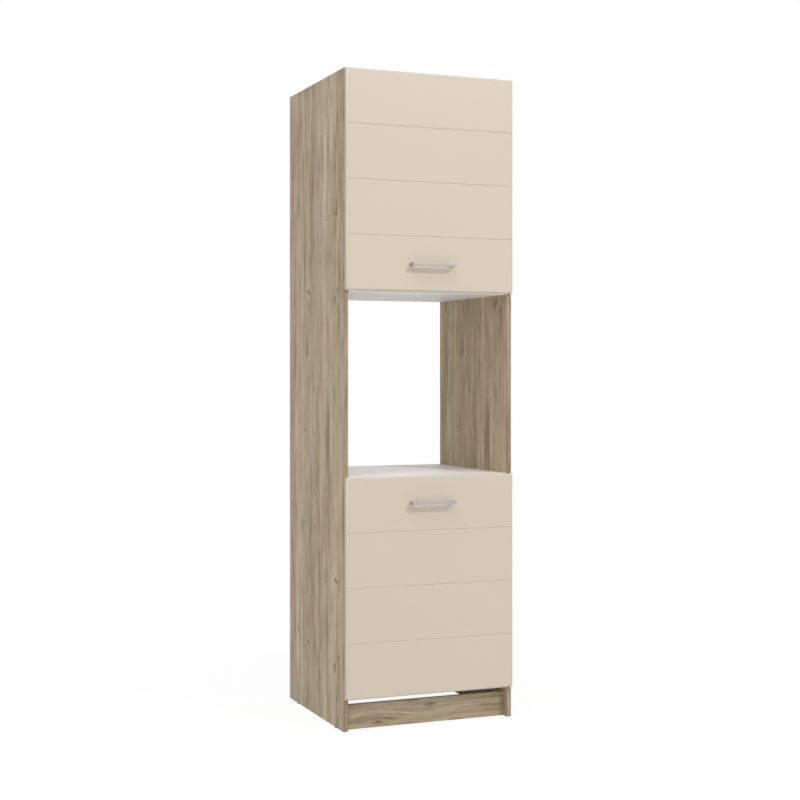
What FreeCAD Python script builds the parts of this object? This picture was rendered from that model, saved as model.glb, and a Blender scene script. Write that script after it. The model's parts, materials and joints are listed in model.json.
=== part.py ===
import FreeCAD, Part
import math
import os

vec = FreeCAD.Vector

# Tall oven housing unit, millimetres.
# Working axes: X to the right, Y from the front edge of the side panels towards the wall, Z up from
# the bottom edge of the side panels. save() moves everything to the part's own frame, whose origin
# is on the floor, in the middle of the outer box.

# ---- shared ----
tolerance = 1e-6              # two places this near are the same place
cut_margin = 1.0              # a cut reaches this far past the faces it opens
merge_overlap = 1.0           # round lengths of one solid run this far into each other
fixed_fit = 0.05              # round pieces that stay put in their holes
slide_fit = 0.3               # between flat faces that move past each other
pin_fit = 0.05                # round pieces that turn or slide in each other

# ---- carcass ----
unit_width = 600.0
side_height = 2140.0
side_depth = 560.0
board = 16.0                  # thickness of every carcass board
plinth_space = 100.0          # bottom edge of the sides to the underside of the bottom panel
lower_section = 720.0         # underside of the bottom panel to the niche floor's top face
niche_height = 600.0          # clear height for the oven
band = 1.0                    # thickness of the edge bands
plinth_height = 80.0
plinth_setback = 28.0
back_thickness = 3.0
back_margin = 1.5             # the backs end this far inside the carcass outline
rear_line = 453.0             # centre line of the rear screws, from the front edge
rear_plinth_screw_level = 45.0
rail_height = 100.0
upper_rail_screw_drop = 52.0  # below the niche floor's underside
lower_rail_middle = 299.0     # middle of the lower rail above the sides' bottom edge
rail_screw_pitch = 64.0
shelf_middle = 1905.0
shelf_setback = 75.0          # leaves room for the struts in front of the shelf
glide_height = 4.0
glide_radius = 7.0
glide_inset = 85.0
glide_rim_radius = 1.0
glide_nail_radius = 1.0
glide_nail_length = 18.0

# ---- carcass joints ----
confirmat_length = 50.0
confirmat_head_radius = 5.0
confirmat_head_height = 3.0
confirmat_collar_radius = 3.5
confirmat_stem_radius = 3.1
confirmat_collar_short = 1.0  # the collar ends this far inside the side panel
confirmat_tip = 4.0
confirmat_tip_radius = 1.0
confirmat_socket = 2.0        # radius over the socket's corners
confirmat_socket_sides = 6
confirmat_socket_depth = 2.5
cap_radius = 6.0
cap_thickness = 0.5
cap_peg_radius = 1.5
dowel_radius = 4.0
dowel_length = 30.0
dowel_in_side = 11.0
dowel_pitch = 32.0            # from a dowel to the cam or screw beside it
cam_inset = 60.0              # behind the front edge of the board
cam_reach = 34.0              # from the side panel to the cam's axis
cam_radius = 7.4
cam_height = 12.5
cam_slot_width = 1.6
cam_bolt_radius = 2.4
cam_bolt_depth = 11.0
cam_bolt_shank = 3.0
cam_bolt_head = 3.6
cam_bolt_way = 4.0

# ---- back nails ----
nail_radius = 0.8
nail_length = 19.0
nail_hole_spare = 1.0         # hole past the tip
nail_head_radius = 1.7
nail_head_height = 0.4
nails_up = 6                  # along each upright edge
nails_across = 4              # along each level edge

# ---- fronts ----
front_thickness = 16.0
front_gap = 2.5               # between the fronts and the carcass
front_side_reveal = 2.0
front_raise = 4.5             # front's lower edge above the underside of its section
front_drop = 0.5              # front's upper edge below the top face of its section
front_edge_radius = 6.0
groove_count = 3
groove_width = 4.5
groove_depth = 1.8
bumper_radius = 4.0
bumper_clearance = 0.2
bumper_inset = 25.0

# ---- handles ----
handle_pitch = 144.0          # between the two screws
handle_leg = 10.0
handle_bar = 10.0
handle_height = 10.0
handle_projection = 30.0
handle_from_edge = 87.0       # handle's middle from the front's edge beside the niche
handle_outer_radius = 4.0
handle_inner_radius = 1.5
handle_edge_radius = 1.2
handle_screw_radius = 2.0
handle_screw_bite = 12.0
handle_screw_spare = 1.0      # hole past the tip
handle_screw_head_radius = 4.0
handle_screw_head_height = 2.0
handle_screw_slot = 1.0

# ---- wood screws of the fittings ----
screw_radius = 1.75
screw_head_radius = 3.2
screw_head_height = 1.6
screw_length = 13.0
screw_tip = 3.0
screw_tip_radius = 0.45
screw_slot_width = 0.8
screw_slot_depth = 0.7

# ---- concealed hinges of the flap ----
hinge_inset = 90.0            # from the side panel to the hinge's middle
axis_in_front = 11.0          # hinge axis behind the flap's back face, into the flap
axis_below_edge = 6.4         # hinge axis below the flap's upper edge
cup_tab = 2.5                 # between the cup bore and the flap's upper edge
cup_radius = 17.5
cup_wall = 0.7
cup_depth = 12.8
cup_floor = 0.5
flange_thickness = 1.2
flange_half_width = 31.0
flange_half_height = 12.0
cup_screw_pitch = 48.0
hinge_pin_radius = 0.9
hinge_pin_length = 18.0
arm_half_width = 6.5
arm_eye_radius = 1.6
arm_leg = 2.6
arm_below_top = 4.5           # upper face of the arm below the top panel
arm_thickness = 3.5
arm_front_end = 6.0
arm_rear_end = 62.0
arm_channel_half_width = 8.5
arm_channel_height = 9.0
arm_channel_wall = 2.0
arm_screw_radius = 3.0
arm_screw_height = 1.2
arm_screw_bite = 3.5
arm_screw_spare = 0.2         # hole past the tip
arm_screw_places = (26.0, 48.0)
plate_half_width = 24.0
plate_wing_half_depth = 6.0
plate_front = 20.0
plate_rear = 56.0
plate_thickness = 2.0
plate_clearance = 1.0         # from the arm's web to the plate's front end
plate_screw_half_pitch = 16.0

# ---- gas struts of the flap ----
strut_inset = 14.0            # from the side panel to the strut's middle plane
strut_foot_back = 72.0        # lower pivot behind the hinge axis
strut_foot_drop = 310.0       # lower pivot below the hinge axis
strut_head_back = 32.0        # upper pivot behind the hinge axis, flap closed
strut_head_drop = 60.0        # upper pivot below the hinge axis, flap closed
strut_tube_radius = 9.0
strut_tube_wall = 1.1
strut_tube_start = 16.0
strut_tube_end_gap = 28.0     # from the tube's end to the upper pivot, flap closed
strut_cap = 6.0
strut_rod_radius = 4.0
strut_neck_radius = 3.4
piston_start = 90.0
piston_length = 8.0
eye_radius = 6.5
eye_thickness = 9.0
stud_radius = 4.0
stud_shoulder_radius = 6.0
stud_head_radius = 5.5
stud_head_height = 1.7
bracket_thickness = 2.0
bracket_half_width = 12.0
bracket_half_height = 25.0
bracket_screw_half_pitch = 17.0
ear_thickness = 2.5
ear_half_width = 9.0
ear_base_width = 21.0
ear_base_half_height = 20.0
ear_screw_half_pitch = 12.0
ear_stud_length = 1.0

# ---- wall brackets ----
wall_bracket_offset = 200.0
wall_bracket_width = 20.0
wall_bracket_leg = 40.0
wall_bracket_thickness = 2.0
wall_hole_radius = 3.25
wall_hole_drop = 24.0         # below the top panel's underside
wall_bracket_screw = 25.0     # from the back panel to the screw in the top panel

# ---- pull-out ----
drawer_lift = 14.0            # drawer box above the bottom panel
drawer_side_height = 350.0
drawer_length = 400.0
drawer_board = 16.0
drawer_screw_inset = 45.0     # outermost corner screws, from the upper and lower edges
drawer_screw_rows = 3
drawer_screw_radius = 2.5
drawer_screw_head_radius = 4.5
drawer_screw_head_height = 2.5
drawer_screw_length = 45.0
front_screw_length = 28.0
front_screw_side_inset = 60.0
front_screw_edge_inset = 60.0
runner_length = 400.0
runner_front = 2.0
runner_level = 130.0          # runner's middle above the drawer box's lower edge
runner_height = 45.0
runner_space = 12.7           # between side panel and drawer side
runner_sheet = 1.2
runner_gap = 0.4
runner_outer_lip = 9.5
runner_middle_start = 1.8
runner_middle_end = 11.0
runner_inner_start = 3.6
runner_screw_inset = 37.0
runner_screw_count = 3

# ---- worked out ----
half_width = unit_width / 2
inner_half = half_width - board
floor_top = plinth_space + lower_section
ceiling_low = floor_top + niche_height
front_back_face = -front_gap
front_face = -front_gap - front_thickness
front_half_width = half_width - front_side_reveal
lower_front_low = plinth_space + front_raise
lower_front_high = floor_top - front_drop
upper_front_low = ceiling_low + front_raise
upper_front_high = side_height - front_drop
rail_front = rear_line - board / 2
rail_back = rear_line + board / 2
handle_front = front_face - handle_projection
back_face = side_depth + back_thickness + nail_head_height
axis_y = front_back_face - axis_in_front
axis_z = upper_front_high - axis_below_edge
cup_z = upper_front_high - cup_tab - cup_radius
cup_bottom = front_back_face - cup_depth
top_low = side_height - board
hinge_x = inner_half - hinge_inset
arm_high = top_low - arm_below_top
strut_x = inner_half - strut_inset
strut_foot = vec(0, axis_y + strut_foot_back, axis_z - strut_foot_drop)
strut_head = vec(0, axis_y + strut_head_back, axis_z - strut_head_drop)
strut_length = strut_foot.distanceToPoint(strut_head)
strut_line = (strut_head - strut_foot).normalize()
strut_tube_end = strut_length - strut_tube_end_gap
drawer_half = inner_half - runner_space
drawer_low = plinth_space + board + drawer_lift
drawer_high = drawer_low + drawer_side_height
drawer_front = front_back_face
drawer_back = drawer_front + drawer_length
runner_z = drawer_low + runner_level
origin_shift = vec(0, -(handle_front + back_face) / 2, glide_height)

SIDES = (-1, 1)

# Level boards: lower face, front edge, and the face that the cams are let into (1 up, -1 down).
LEVEL_BOARDS = {
    "bottom_panel": (plinth_space, 0.0, -1),
    "niche_floor": (floor_top - board, 0.0, -1),
    "niche_ceiling": (ceiling_low, 0.0, 1),
    "top_panel": (top_low, 0.0, 1),
    "upper_shelf": (shelf_middle - board / 2, shelf_setback, -1),
}
UPPER_RAIL_LOW = floor_top - board - rail_height
LOWER_RAIL_LOW = lower_rail_middle - rail_height / 2
RAIL_SCREW_LEVELS = (
    floor_top - board - upper_rail_screw_drop,
    lower_rail_middle - rail_screw_pitch / 2,
    lower_rail_middle + rail_screw_pitch / 2,
    rear_plinth_screw_level,
)
PLINTH_DOWEL_LEVELS = (plinth_height / 4, plinth_height * 3 / 4)


# ---- basic shapes ----
def box(x, y, z):
    """Block between the two ends given for each axis, in either order."""
    low = vec(min(x), min(y), min(z))
    return Part.makeBox(max(x) - low.x, max(y) - low.y, max(z) - low.z, low)


def rod(radius, start, direction, length):
    return Part.makeCylinder(radius, length, vec(start), vec(direction))


def cone(start_radius, end_radius, start, direction, length):
    return Part.makeCone(start_radius, end_radius, length, vec(start), vec(direction))


def join(shapes):
    return shapes[0].fuse(shapes[1:]).removeSplitter()


def along(start, direction, distance):
    return vec(start) + vec(direction) * distance


def upright_edges(shape, x, y):
    """Edges parallel to Z that stand at (|x|, y)."""
    found = []
    for edge in shape.Edges:
        low, high = edge.firstVertex().Point, edge.lastVertex().Point
        level = abs(low.x - high.x) < tolerance and abs(low.y - high.y) < tolerance
        if level and abs(abs(low.x) - x) < tolerance and abs(low.y - y) < tolerance:
            found.append(edge)
    return found


def save(name, solids):
    """Write one sub-part, moved to the part's own frame."""
    shape = Part.makeCompound(solids) if len(solids) > 1 else solids[0].copy()
    shape.translate(origin_shift)
    shape.exportStep("parts/" + name + ".step")


# ---- fasteners and their holes ----
def wood_screw(start, direction, length=screw_length):
    """Countersunk screw with its head's face at start."""
    shank = length - screw_tip
    cross = vec(0, 0, 1) if abs(direction[2]) < 0.5 else vec(1, 0, 0)
    body = join([
        cone(screw_head_radius, screw_radius, start, direction, screw_head_height),
        rod(screw_radius, start, direction, shank),
        cone(screw_radius, screw_tip_radius, along(start, direction, shank), direction, screw_tip),
    ])
    slot = Part.makeBox(2 * screw_head_radius, screw_slot_width, screw_slot_depth)
    slot.translate(vec(-screw_head_radius, -screw_slot_width / 2, 0))
    turn = FreeCAD.Rotation(cross, vec(0, 1, 0), vec(direction), "ZXY")
    slot.Placement = FreeCAD.Placement(vec(start), turn).multiply(slot.Placement)
    return body.cut(slot)


def wood_screw_hole(start, direction, length=screw_length):
    return join([
        cone(screw_head_radius + fixed_fit, screw_radius + fixed_fit, start, direction, screw_head_height),
        rod(screw_radius + fixed_fit, start, direction, length + fixed_fit),
    ])


def confirmat(side, level):
    """One-piece connector through a side panel into the end of a board."""
    start = (side * half_width, rear_line, level)
    inward = (-side, 0, 0)
    stem = confirmat_length - confirmat_tip
    body = join([
        cone(confirmat_head_radius, confirmat_collar_radius, start, inward, confirmat_head_height),
        rod(confirmat_collar_radius, start, inward, board - confirmat_collar_short),
        rod(confirmat_stem_radius, start, inward, stem),
        cone(confirmat_stem_radius, confirmat_tip_radius, along(start, inward, stem), inward, confirmat_tip),
    ])
    corners = []
    for step in range(confirmat_socket_sides + 1):
        turn = 2 * math.pi * step / confirmat_socket_sides
        offset = vec(0, math.cos(turn), math.sin(turn)) * confirmat_socket
        corners.append(vec(start) + offset)
    socket = Part.Face(Part.makePolygon(corners)).extrude(vec(inward) * confirmat_socket_depth)
    return body.cut(socket)


def confirmat_hole(side, level):
    start = (side * half_width, rear_line, level)
    inward = (-side, 0, 0)
    return join([
        cone(confirmat_head_radius + fixed_fit, confirmat_collar_radius + fixed_fit, start, inward,
             confirmat_head_height),
        rod(confirmat_collar_radius + fixed_fit, start, inward, board),
        rod(confirmat_stem_radius + fixed_fit, start, inward, confirmat_length + fixed_fit),
    ])


def cover_cap(side, level):
    """Round cap over a connector's head, with a peg in its socket."""
    face = (side * half_width, rear_line, level)
    inward = (-side, 0, 0)
    disc = rod(cap_radius, face, (side, 0, 0), cap_thickness)
    outer = side * (half_width + cap_thickness)
    rim = [edge for edge in disc.Edges if abs(edge.BoundBox.XMin - outer) < tolerance
           and abs(edge.BoundBox.XMax - outer) < tolerance]
    disc = disc.makeChamfer(cap_thickness / 2, rim)
    return join([disc, rod(cap_peg_radius, face, inward, confirmat_socket_depth - slide_fit)])


def dowel(side, y, z):
    start = (side * (inner_half + dowel_in_side), y, z)
    return rod(dowel_radius, start, (-side, 0, 0), dowel_length)


def dowel_hole(side, y, z):
    start = (side * (inner_half + dowel_in_side + fixed_fit), y, z)
    return rod(dowel_radius + fixed_fit, start, (-side, 0, 0), dowel_length + 2 * fixed_fit)


def cam_bolt(side, y, z):
    """Bolt in the side panel whose head sits in the cam."""
    start = (side * (inner_half + cam_bolt_depth), y, z)
    inward = (-side, 0, 0)
    reach = cam_bolt_depth + cam_reach
    return join([
        rod(cam_bolt_radius, start, inward, reach),
        rod(cam_bolt_shank, (side * inner_half, y, z), inward, cam_reach - cam_radius),
        rod(cam_bolt_head, along(start, inward, reach - cam_bolt_radius), inward, cam_bolt_radius),
    ])


def cam_bolt_hole(side, y, z):
    side_start = (side * (inner_half + cam_bolt_depth + fixed_fit), y, z)
    return join([
        rod(cam_bolt_radius + fixed_fit, side_start, (-side, 0, 0), cam_bolt_depth + cam_reach),
        rod(cam_bolt_way, (side * inner_half, y, z), (-side, 0, 0), cam_reach),
    ])


def cam_disc(side, y, low, faces):
    """Cam let into the board face that `faces` points out of."""
    face = low + board if faces > 0 else low
    middle = low + board / 2
    start = (side * (inner_half - cam_reach), y, face)
    disc = rod(cam_radius, start, (0, 0, -faces), cam_height)
    bolt_way = rod(cam_bolt_way, (side * inner_half, y, middle), (-side, 0, 0), cam_reach + cam_bolt_way)
    reach = cam_radius * 2 / 3
    slots = [
        box((start[0] - reach, start[0] + reach), (y - cam_slot_width / 2, y + cam_slot_width / 2),
            (face, face - faces * cam_slot_width)),
        box((start[0] - cam_slot_width / 2, start[0] + cam_slot_width / 2), (y - reach, y + reach),
            (face, face - faces * cam_slot_width)),
    ]
    return disc.cut([bolt_way] + slots)


def cam_disc_hole(side, y, low, faces):
    face = low + board if faces > 0 else low
    start = (side * (inner_half - cam_reach), y, face)
    return rod(cam_radius + fixed_fit, start, (0, 0, -faces), cam_height + fixed_fit)


# ---- where the joints are ----
def joint_places(front):
    """Y of the cam, the front dowel and the rear dowel of a board whose front edge is given."""
    return front + cam_inset, front + cam_inset + dowel_pitch, rear_line - dowel_pitch


def confirmat_levels():
    levels = [low + board / 2 for low, front, faces in LEVEL_BOARDS.values()]
    return levels + list(RAIL_SCREW_LEVELS)


def dowel_places():
    places = []
    for low, front, faces in LEVEL_BOARDS.values():
        cam_y, front_dowel, rear_dowel = joint_places(front)
        places += [(front_dowel, low + board / 2), (rear_dowel, low + board / 2)]
    places += [(plinth_setback + board / 2, level) for level in PLINTH_DOWEL_LEVELS]
    return places


def cam_places():
    return [(joint_places(front)[0], low, faces) for low, front, faces in LEVEL_BOARDS.values()]


def nail_places(low, high, lowest_board, highest_board):
    """(x, z) of the nails that hold a back: up both sides, and along its lower and upper boards."""
    places = []
    for side in SIDES:
        for step in range(nails_up):
            level = low + (high - low) * (step + 0.5) / nails_up
            places.append((side * (half_width - board / 2), level))
    for level in (lowest_board + board / 2, highest_board + board / 2):
        for step in range(nails_across):
            places.append((inner_half * (2 * (step + 0.5) / nails_across - 1), level))
    return places


def all_nail_places():
    return (nail_places(plinth_space, floor_top, plinth_space, floor_top - board)
            + nail_places(ceiling_low, side_height, ceiling_low, top_low))


def nail_hole(x, z):
    return rod(nail_radius + fixed_fit, (x, side_depth + back_thickness, z), (0, -1, 0),
               nail_length + nail_hole_spare)


def glide_places():
    middle = half_width - board / 2
    return [(side * middle, y) for side in SIDES for y in (glide_inset, side_depth - glide_inset)]


def runner_screw_places(front):
    span = runner_length - 2 * runner_screw_inset
    return [front + runner_screw_inset + span * step / (runner_screw_count - 1)
            for step in range(runner_screw_count)]


def strut_bracket_screws(side):
    x = side * (inner_half - bracket_thickness)
    return [(x, strut_foot.y, strut_foot.z + sign * bracket_screw_half_pitch) for sign in SIDES]


def plate_screws(side):
    y = (plate_front + plate_rear) / 2
    return [(side * hinge_x + sign * plate_screw_half_pitch, y, top_low - plate_thickness) for sign in SIDES]


def wall_bracket_screw_place(side):
    return (side * wall_bracket_offset, side_depth - wall_bracket_screw, top_low - wall_bracket_thickness)


# ---- carcass boards ----
def side_panel(side):
    """Upright side, drilled for every joint and fitting it carries."""
    panel = box((side * inner_half, side * half_width), (band, side_depth), (0, side_height))
    outward = (side, 0, 0)
    holes = [confirmat_hole(side, level) for level in confirmat_levels()]
    holes += [dowel_hole(side, y, z) for y, z in dowel_places()]
    holes += [cam_bolt_hole(side, y, low + board / 2) for y, low, faces in cam_places()]
    holes += [nail_hole(x, z) for x, z in all_nail_places() if x * side > inner_half]
    holes += [rod(glide_nail_radius + fixed_fit, (x, y, 0), (0, 0, 1), glide_nail_length)
              for x, y in glide_places() if x * side > 0]
    holes += [wood_screw_hole((side * (inner_half - runner_sheet), y, runner_z), outward)
              for y in runner_screw_places(runner_front)]
    holes += [wood_screw_hole(place, outward) for place in strut_bracket_screws(side)]
    return panel.cut(holes)


def level_board(name):
    """Board between the sides, drilled in its ends, in its cam face and in its rear edge."""
    low, front, faces = LEVEL_BOARDS[name]
    middle = low + board / 2
    cam_y, front_dowel, rear_dowel = joint_places(front)
    panel = box((-inner_half, inner_half), (front + band, side_depth), (low, low + board))
    holes = []
    for side in SIDES:
        holes.append(confirmat_hole(side, middle))
        holes += [dowel_hole(side, y, middle) for y in (front_dowel, rear_dowel)]
        holes.append(cam_bolt_hole(side, cam_y, middle))
        holes.append(cam_disc_hole(side, cam_y, low, faces))
    holes += [nail_hole(x, z) for x, z in all_nail_places() if abs(z - middle) < tolerance]
    return panel.cut(holes)


def top_panel():
    holes = []
    for side in SIDES:
        holes += [wood_screw_hole(place, (0, 0, 1)) for place in plate_screws(side)]
        holes.append(wood_screw_hole(wall_bracket_screw_place(side), (0, 0, 1)))
    return level_board("top_panel").cut(holes)


def side_bands():
    return [box((side * inner_half, side * half_width), (0, band), (0, side_height)) for side in SIDES]


def level_bands(names):
    bands = []
    for name in names:
        low, front, faces = LEVEL_BOARDS[name]
        bands.append(box((-inner_half, inner_half), (front, front + band), (low, low + board)))
    return bands


def front_plinth():
    panel = box((-inner_half, inner_half), (plinth_setback, plinth_setback + board), (0, plinth_height))
    y = plinth_setback + board / 2
    return panel.cut([dowel_hole(side, y, level) for side in SIDES for level in PLINTH_DOWEL_LEVELS])


def rear_board(low, height):
    """Upright board on the rear screw line: the rear plinth and the two rails."""
    panel = box((-inner_half, inner_half), (rail_front, rail_back), (low, low + height))
    levels = [level for level in RAIL_SCREW_LEVELS if low < level < low + height]
    return panel.cut([confirmat_hole(side, level) for side in SIDES for level in levels])


def back_panel(low, high):
    edge = half_width - back_margin
    panel = box((-edge, edge), (side_depth, side_depth + back_thickness),
                (low + back_margin, high - back_margin))
    holes = [nail_hole(x, z) for x, z in all_nail_places() if low < z < high]
    holes += [wall_hole(side) for side in SIDES if low < top_low - wall_hole_drop < high]
    return panel.cut(holes)


def back_nails():
    nails = []
    face = side_depth + back_thickness
    for x, z in all_nail_places():
        shank = rod(nail_radius, (x, face, z), (0, -1, 0), nail_length)
        head = rod(nail_head_radius, (x, face, z), (0, 1, 0), nail_head_height)
        nails.append(join([shank, head]))
    return nails


def wall_hole(side):
    start = (side * wall_bracket_offset, side_depth - wall_bracket_thickness - cut_margin,
             top_low - wall_hole_drop)
    return rod(wall_hole_radius, start, (0, 1, 0), wall_bracket_thickness + back_thickness + 2 * cut_margin)


def wall_bracket(side):
    """Steel angle under the top panel with a hole for the screw into the wall."""
    middle = side * wall_bracket_offset
    x = (middle - wall_bracket_width / 2, middle + wall_bracket_width / 2)
    level = box(x, (side_depth - wall_bracket_leg, side_depth), (top_low - wall_bracket_thickness, top_low))
    upright = box(x, (side_depth - wall_bracket_thickness, side_depth), (top_low - wall_bracket_leg, top_low))
    screw = wood_screw_hole(wall_bracket_screw_place(side), (0, 0, 1))
    return join([level, upright]).cut([wall_hole(side), screw])


def glide(x, y):
    foot = rod(glide_radius, (x, y, -glide_height), (0, 0, 1), glide_height)
    lower_rim = [edge for edge in foot.Edges if edge.BoundBox.ZMax < -glide_height + tolerance]
    foot = foot.makeFillet(glide_rim_radius, lower_rim)
    return foot.cut(rod(glide_nail_radius + fixed_fit, (x, y, -glide_height / 2), (0, 0, 1), glide_height))


def glide_nail(x, y):
    return rod(glide_nail_radius, (x, y, -glide_height / 2), (0, 0, 1), glide_nail_length)


# ---- fronts ----
def front_panel(low, high):
    """Front with rounded outer edges and V grooves that part it into level strips."""
    panel = box((-front_half_width, front_half_width), (front_back_face, front_face), (low, high))
    rim = [edge for edge in panel.Edges if edge.BoundBox.YMax < front_face + tolerance]
    panel = panel.makeFillet(front_edge_radius, rim)
    grooves = []
    mouth = groove_width / 2 * (1 + cut_margin / groove_depth)
    for step in range(groove_count):
        level = low + (high - low) * (step + 1) / (groove_count + 1)
        corners = [
            vec(-half_width, front_face - cut_margin, level - mouth),
            vec(-half_width, front_face + groove_depth, level),
            vec(-half_width, front_face - cut_margin, level + mouth),
        ]
        section = Part.Face(Part.makePolygon(corners + corners[:1]))
        grooves.append(section.extrude(vec(unit_width, 0, 0)))
    return panel.cut(grooves)


def handle_level(low, high, near_top):
    """Level of the handle, beside the uppermost or the lowest edge of a front."""
    return high - handle_from_edge if near_top else low + handle_from_edge


def handle_screw_hole(side, level):
    start = (side * handle_pitch / 2, front_back_face, level)
    return rod(handle_screw_radius + fixed_fit, start, (0, -1, 0),
               front_thickness + handle_screw_bite + handle_screw_spare)


def handle(level):
    """Bow of square section whose two legs take the screws."""
    half = handle_pitch / 2 + handle_leg / 2
    inner = handle_pitch / 2 - handle_leg / 2
    z = (level - handle_height / 2, level + handle_height / 2)
    bow = box((-half, half), (handle_front, front_face), z)
    bow = bow.cut(box((-inner, inner), (handle_front + handle_bar, front_face), z))
    bow = bow.makeFillet(handle_outer_radius, upright_edges(bow, half, handle_front))
    bow = bow.makeFillet(handle_inner_radius, upright_edges(bow, inner, handle_front + handle_bar))
    outline = []
    for edge in bow.Edges:
        bounds = edge.BoundBox
        flat = bounds.ZMax - bounds.ZMin < tolerance
        on_end = max(abs(bounds.XMin), abs(bounds.XMax)) > half - tolerance
        on_bar = abs(bounds.YMin - handle_front) < tolerance
        at_foot = bounds.YMin > front_face - tolerance
        if flat and (on_end or on_bar) and not at_foot:
            outline.append(edge)
    bow = bow.makeFillet(handle_edge_radius, outline)
    return bow.cut([handle_screw_hole(side, level) for side in SIDES])


def handle_screw(side, level):
    face = (side * handle_pitch / 2, front_back_face, level)
    shank = rod(handle_screw_radius, face, (0, -1, 0), front_thickness + handle_screw_bite)
    head = rod(handle_screw_head_radius, face, (0, 1, 0), handle_screw_head_height)
    head_face = front_back_face + handle_screw_head_height
    reach = handle_screw_head_radius
    slot = box((face[0] - reach, face[0] + reach), (head_face, head_face - handle_screw_slot),
               (level - handle_screw_slot / 2, level + handle_screw_slot / 2))
    return join([shank, head]).cut(slot)


def bumper(side, level):
    x = side * (half_width - board / 2)
    return rod(bumper_radius, (x, front_back_face, level), (0, 1, 0), front_gap - bumper_clearance)


# ---- flap hinges ----
def cup_screws(side):
    return [(side * hinge_x + sign * cup_screw_pitch / 2, front_back_face + flange_thickness, cup_z)
            for sign in SIDES]


def ear_screws(side):
    x = side * (strut_x - eye_thickness / 2 - ear_stud_length - slide_fit - ear_base_width / 2)
    return [(x, front_back_face + bracket_thickness, strut_head.z + sign * ear_screw_half_pitch)
            for sign in SIDES]


def upper_flap():
    panel = front_panel(upper_front_low, upper_front_high)
    level = handle_level(upper_front_low, upper_front_high, False)
    outward = (0, -1, 0)
    holes = []
    for side in SIDES:
        cup_start = (side * hinge_x, front_back_face, cup_z)
        holes.append(rod(cup_radius, cup_start, outward, cup_depth + cup_floor + fixed_fit))
        holes.append(handle_screw_hole(side, level))
        holes += [wood_screw_hole(place, outward) for place in cup_screws(side) + ear_screws(side)]
    return panel.cut(holes)


def hinge_cup(side):
    """Pressed cup with its screw flange and the two cheeks that hold the pin."""
    x = side * hinge_x
    shell_radius = cup_radius - fixed_fit
    bore_radius = shell_radius - cup_wall
    shell = rod(shell_radius, (x, front_back_face, cup_z), (0, -1, 0), cup_depth + cup_floor)
    flange = box((x - flange_half_width, x + flange_half_width),
                 (front_back_face, front_back_face + flange_thickness),
                 (cup_z - flange_half_height, cup_z + flange_half_height))
    collar = rod(shell_radius - cup_wall / 2, (x, front_back_face, cup_z), (0, 1, 0), flange_thickness)
    body = join([shell, flange, collar])
    body = body.cut(rod(bore_radius, (x, front_back_face + flange_thickness, cup_z), (0, -1, 0),
                        cup_depth + flange_thickness))
    cheeks = []
    for sign in SIDES:
        near = x + sign * (arm_half_width + slide_fit)
        far = x + sign * hinge_pin_length / 2
        cheeks.append(box((near, far), (cup_bottom, axis_y + arm_eye_radius),
                          (axis_z - 2 * arm_eye_radius, axis_z + arm_eye_radius)))
    inside = rod(bore_radius, (x, front_back_face, cup_z), (0, -1, 0), cup_depth)
    body = join([body] + [cheek.common(inside) for cheek in cheeks])
    pin_way = rod(hinge_pin_radius + fixed_fit, (x - hinge_pin_length / 2, axis_y, axis_z), (1, 0, 0),
                  hinge_pin_length)
    screws = [wood_screw_hole(place, (0, -1, 0)) for place in cup_screws(side)]
    return body.cut([pin_way] + screws)


def hinge_pin(side):
    x = side * hinge_x - hinge_pin_length / 2
    return rod(hinge_pin_radius, (x + fixed_fit, axis_y, axis_z), (1, 0, 0), hinge_pin_length - 2 * fixed_fit)


def hinge_arm(side):
    """Hooked arm: an eye on the pin, a leg inside the cup, and a channel over the mounting plate."""
    x = side * hinge_x
    across = (x - arm_half_width, x + arm_half_width)
    arm_low = arm_high - arm_thickness
    eye = rod(arm_eye_radius, (across[0], axis_y, axis_z), (1, 0, 0), 2 * arm_half_width)
    leg = box(across, (axis_y - arm_leg / 2, axis_y + arm_leg / 2), (arm_low, axis_z))
    tongue = box(across, (axis_y - arm_leg / 2, arm_front_end), (arm_low, arm_high))
    channel_x = (x - arm_channel_half_width, x + arm_channel_half_width)
    channel_high = arm_high + flange_thickness
    channel = box(channel_x, (arm_front_end, arm_rear_end), (channel_high - arm_channel_height, channel_high))
    body = join([eye, leg, tongue, channel])
    inner = arm_channel_half_width - arm_channel_wall
    hollow = box((x - inner, x + inner), (plate_front - plate_clearance, arm_rear_end),
                 (channel_high - arm_channel_height + arm_channel_wall, channel_high))
    bore = rod(hinge_pin_radius + pin_fit, (across[0], axis_y, axis_z), (1, 0, 0), 2 * arm_half_width)
    ways = [rod(arm_screw_radius / 2 + fixed_fit, (x, y, channel_high - arm_channel_height), (0, 0, 1),
                arm_channel_wall) for y in arm_screw_places]
    return body.cut([hollow, bore] + ways)


def hinge_plate(side):
    """Cross-shaped plate under the top panel with the block that the arm clips over."""
    x = side * hinge_x
    block_low = arm_high + flange_thickness - arm_channel_height + arm_channel_wall + slide_fit
    inner = arm_channel_half_width - arm_channel_wall - slide_fit
    middle_y = (plate_front + plate_rear) / 2
    wing = box((x - plate_half_width, x + plate_half_width),
               (middle_y - plate_wing_half_depth, middle_y + plate_wing_half_depth),
               (top_low - plate_thickness, top_low))
    block = box((x - inner, x + inner), (plate_front, plate_rear), (block_low, top_low))
    holes = [wood_screw_hole(place, (0, 0, 1)) for place in plate_screws(side)]
    depth = arm_screw_bite + arm_screw_spare
    holes += [rod(arm_screw_radius / 2 + fixed_fit, (x, y, block_low), (0, 0, 1), depth)
              for y in arm_screw_places]
    return join([wing, block]).cut(holes)


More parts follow.
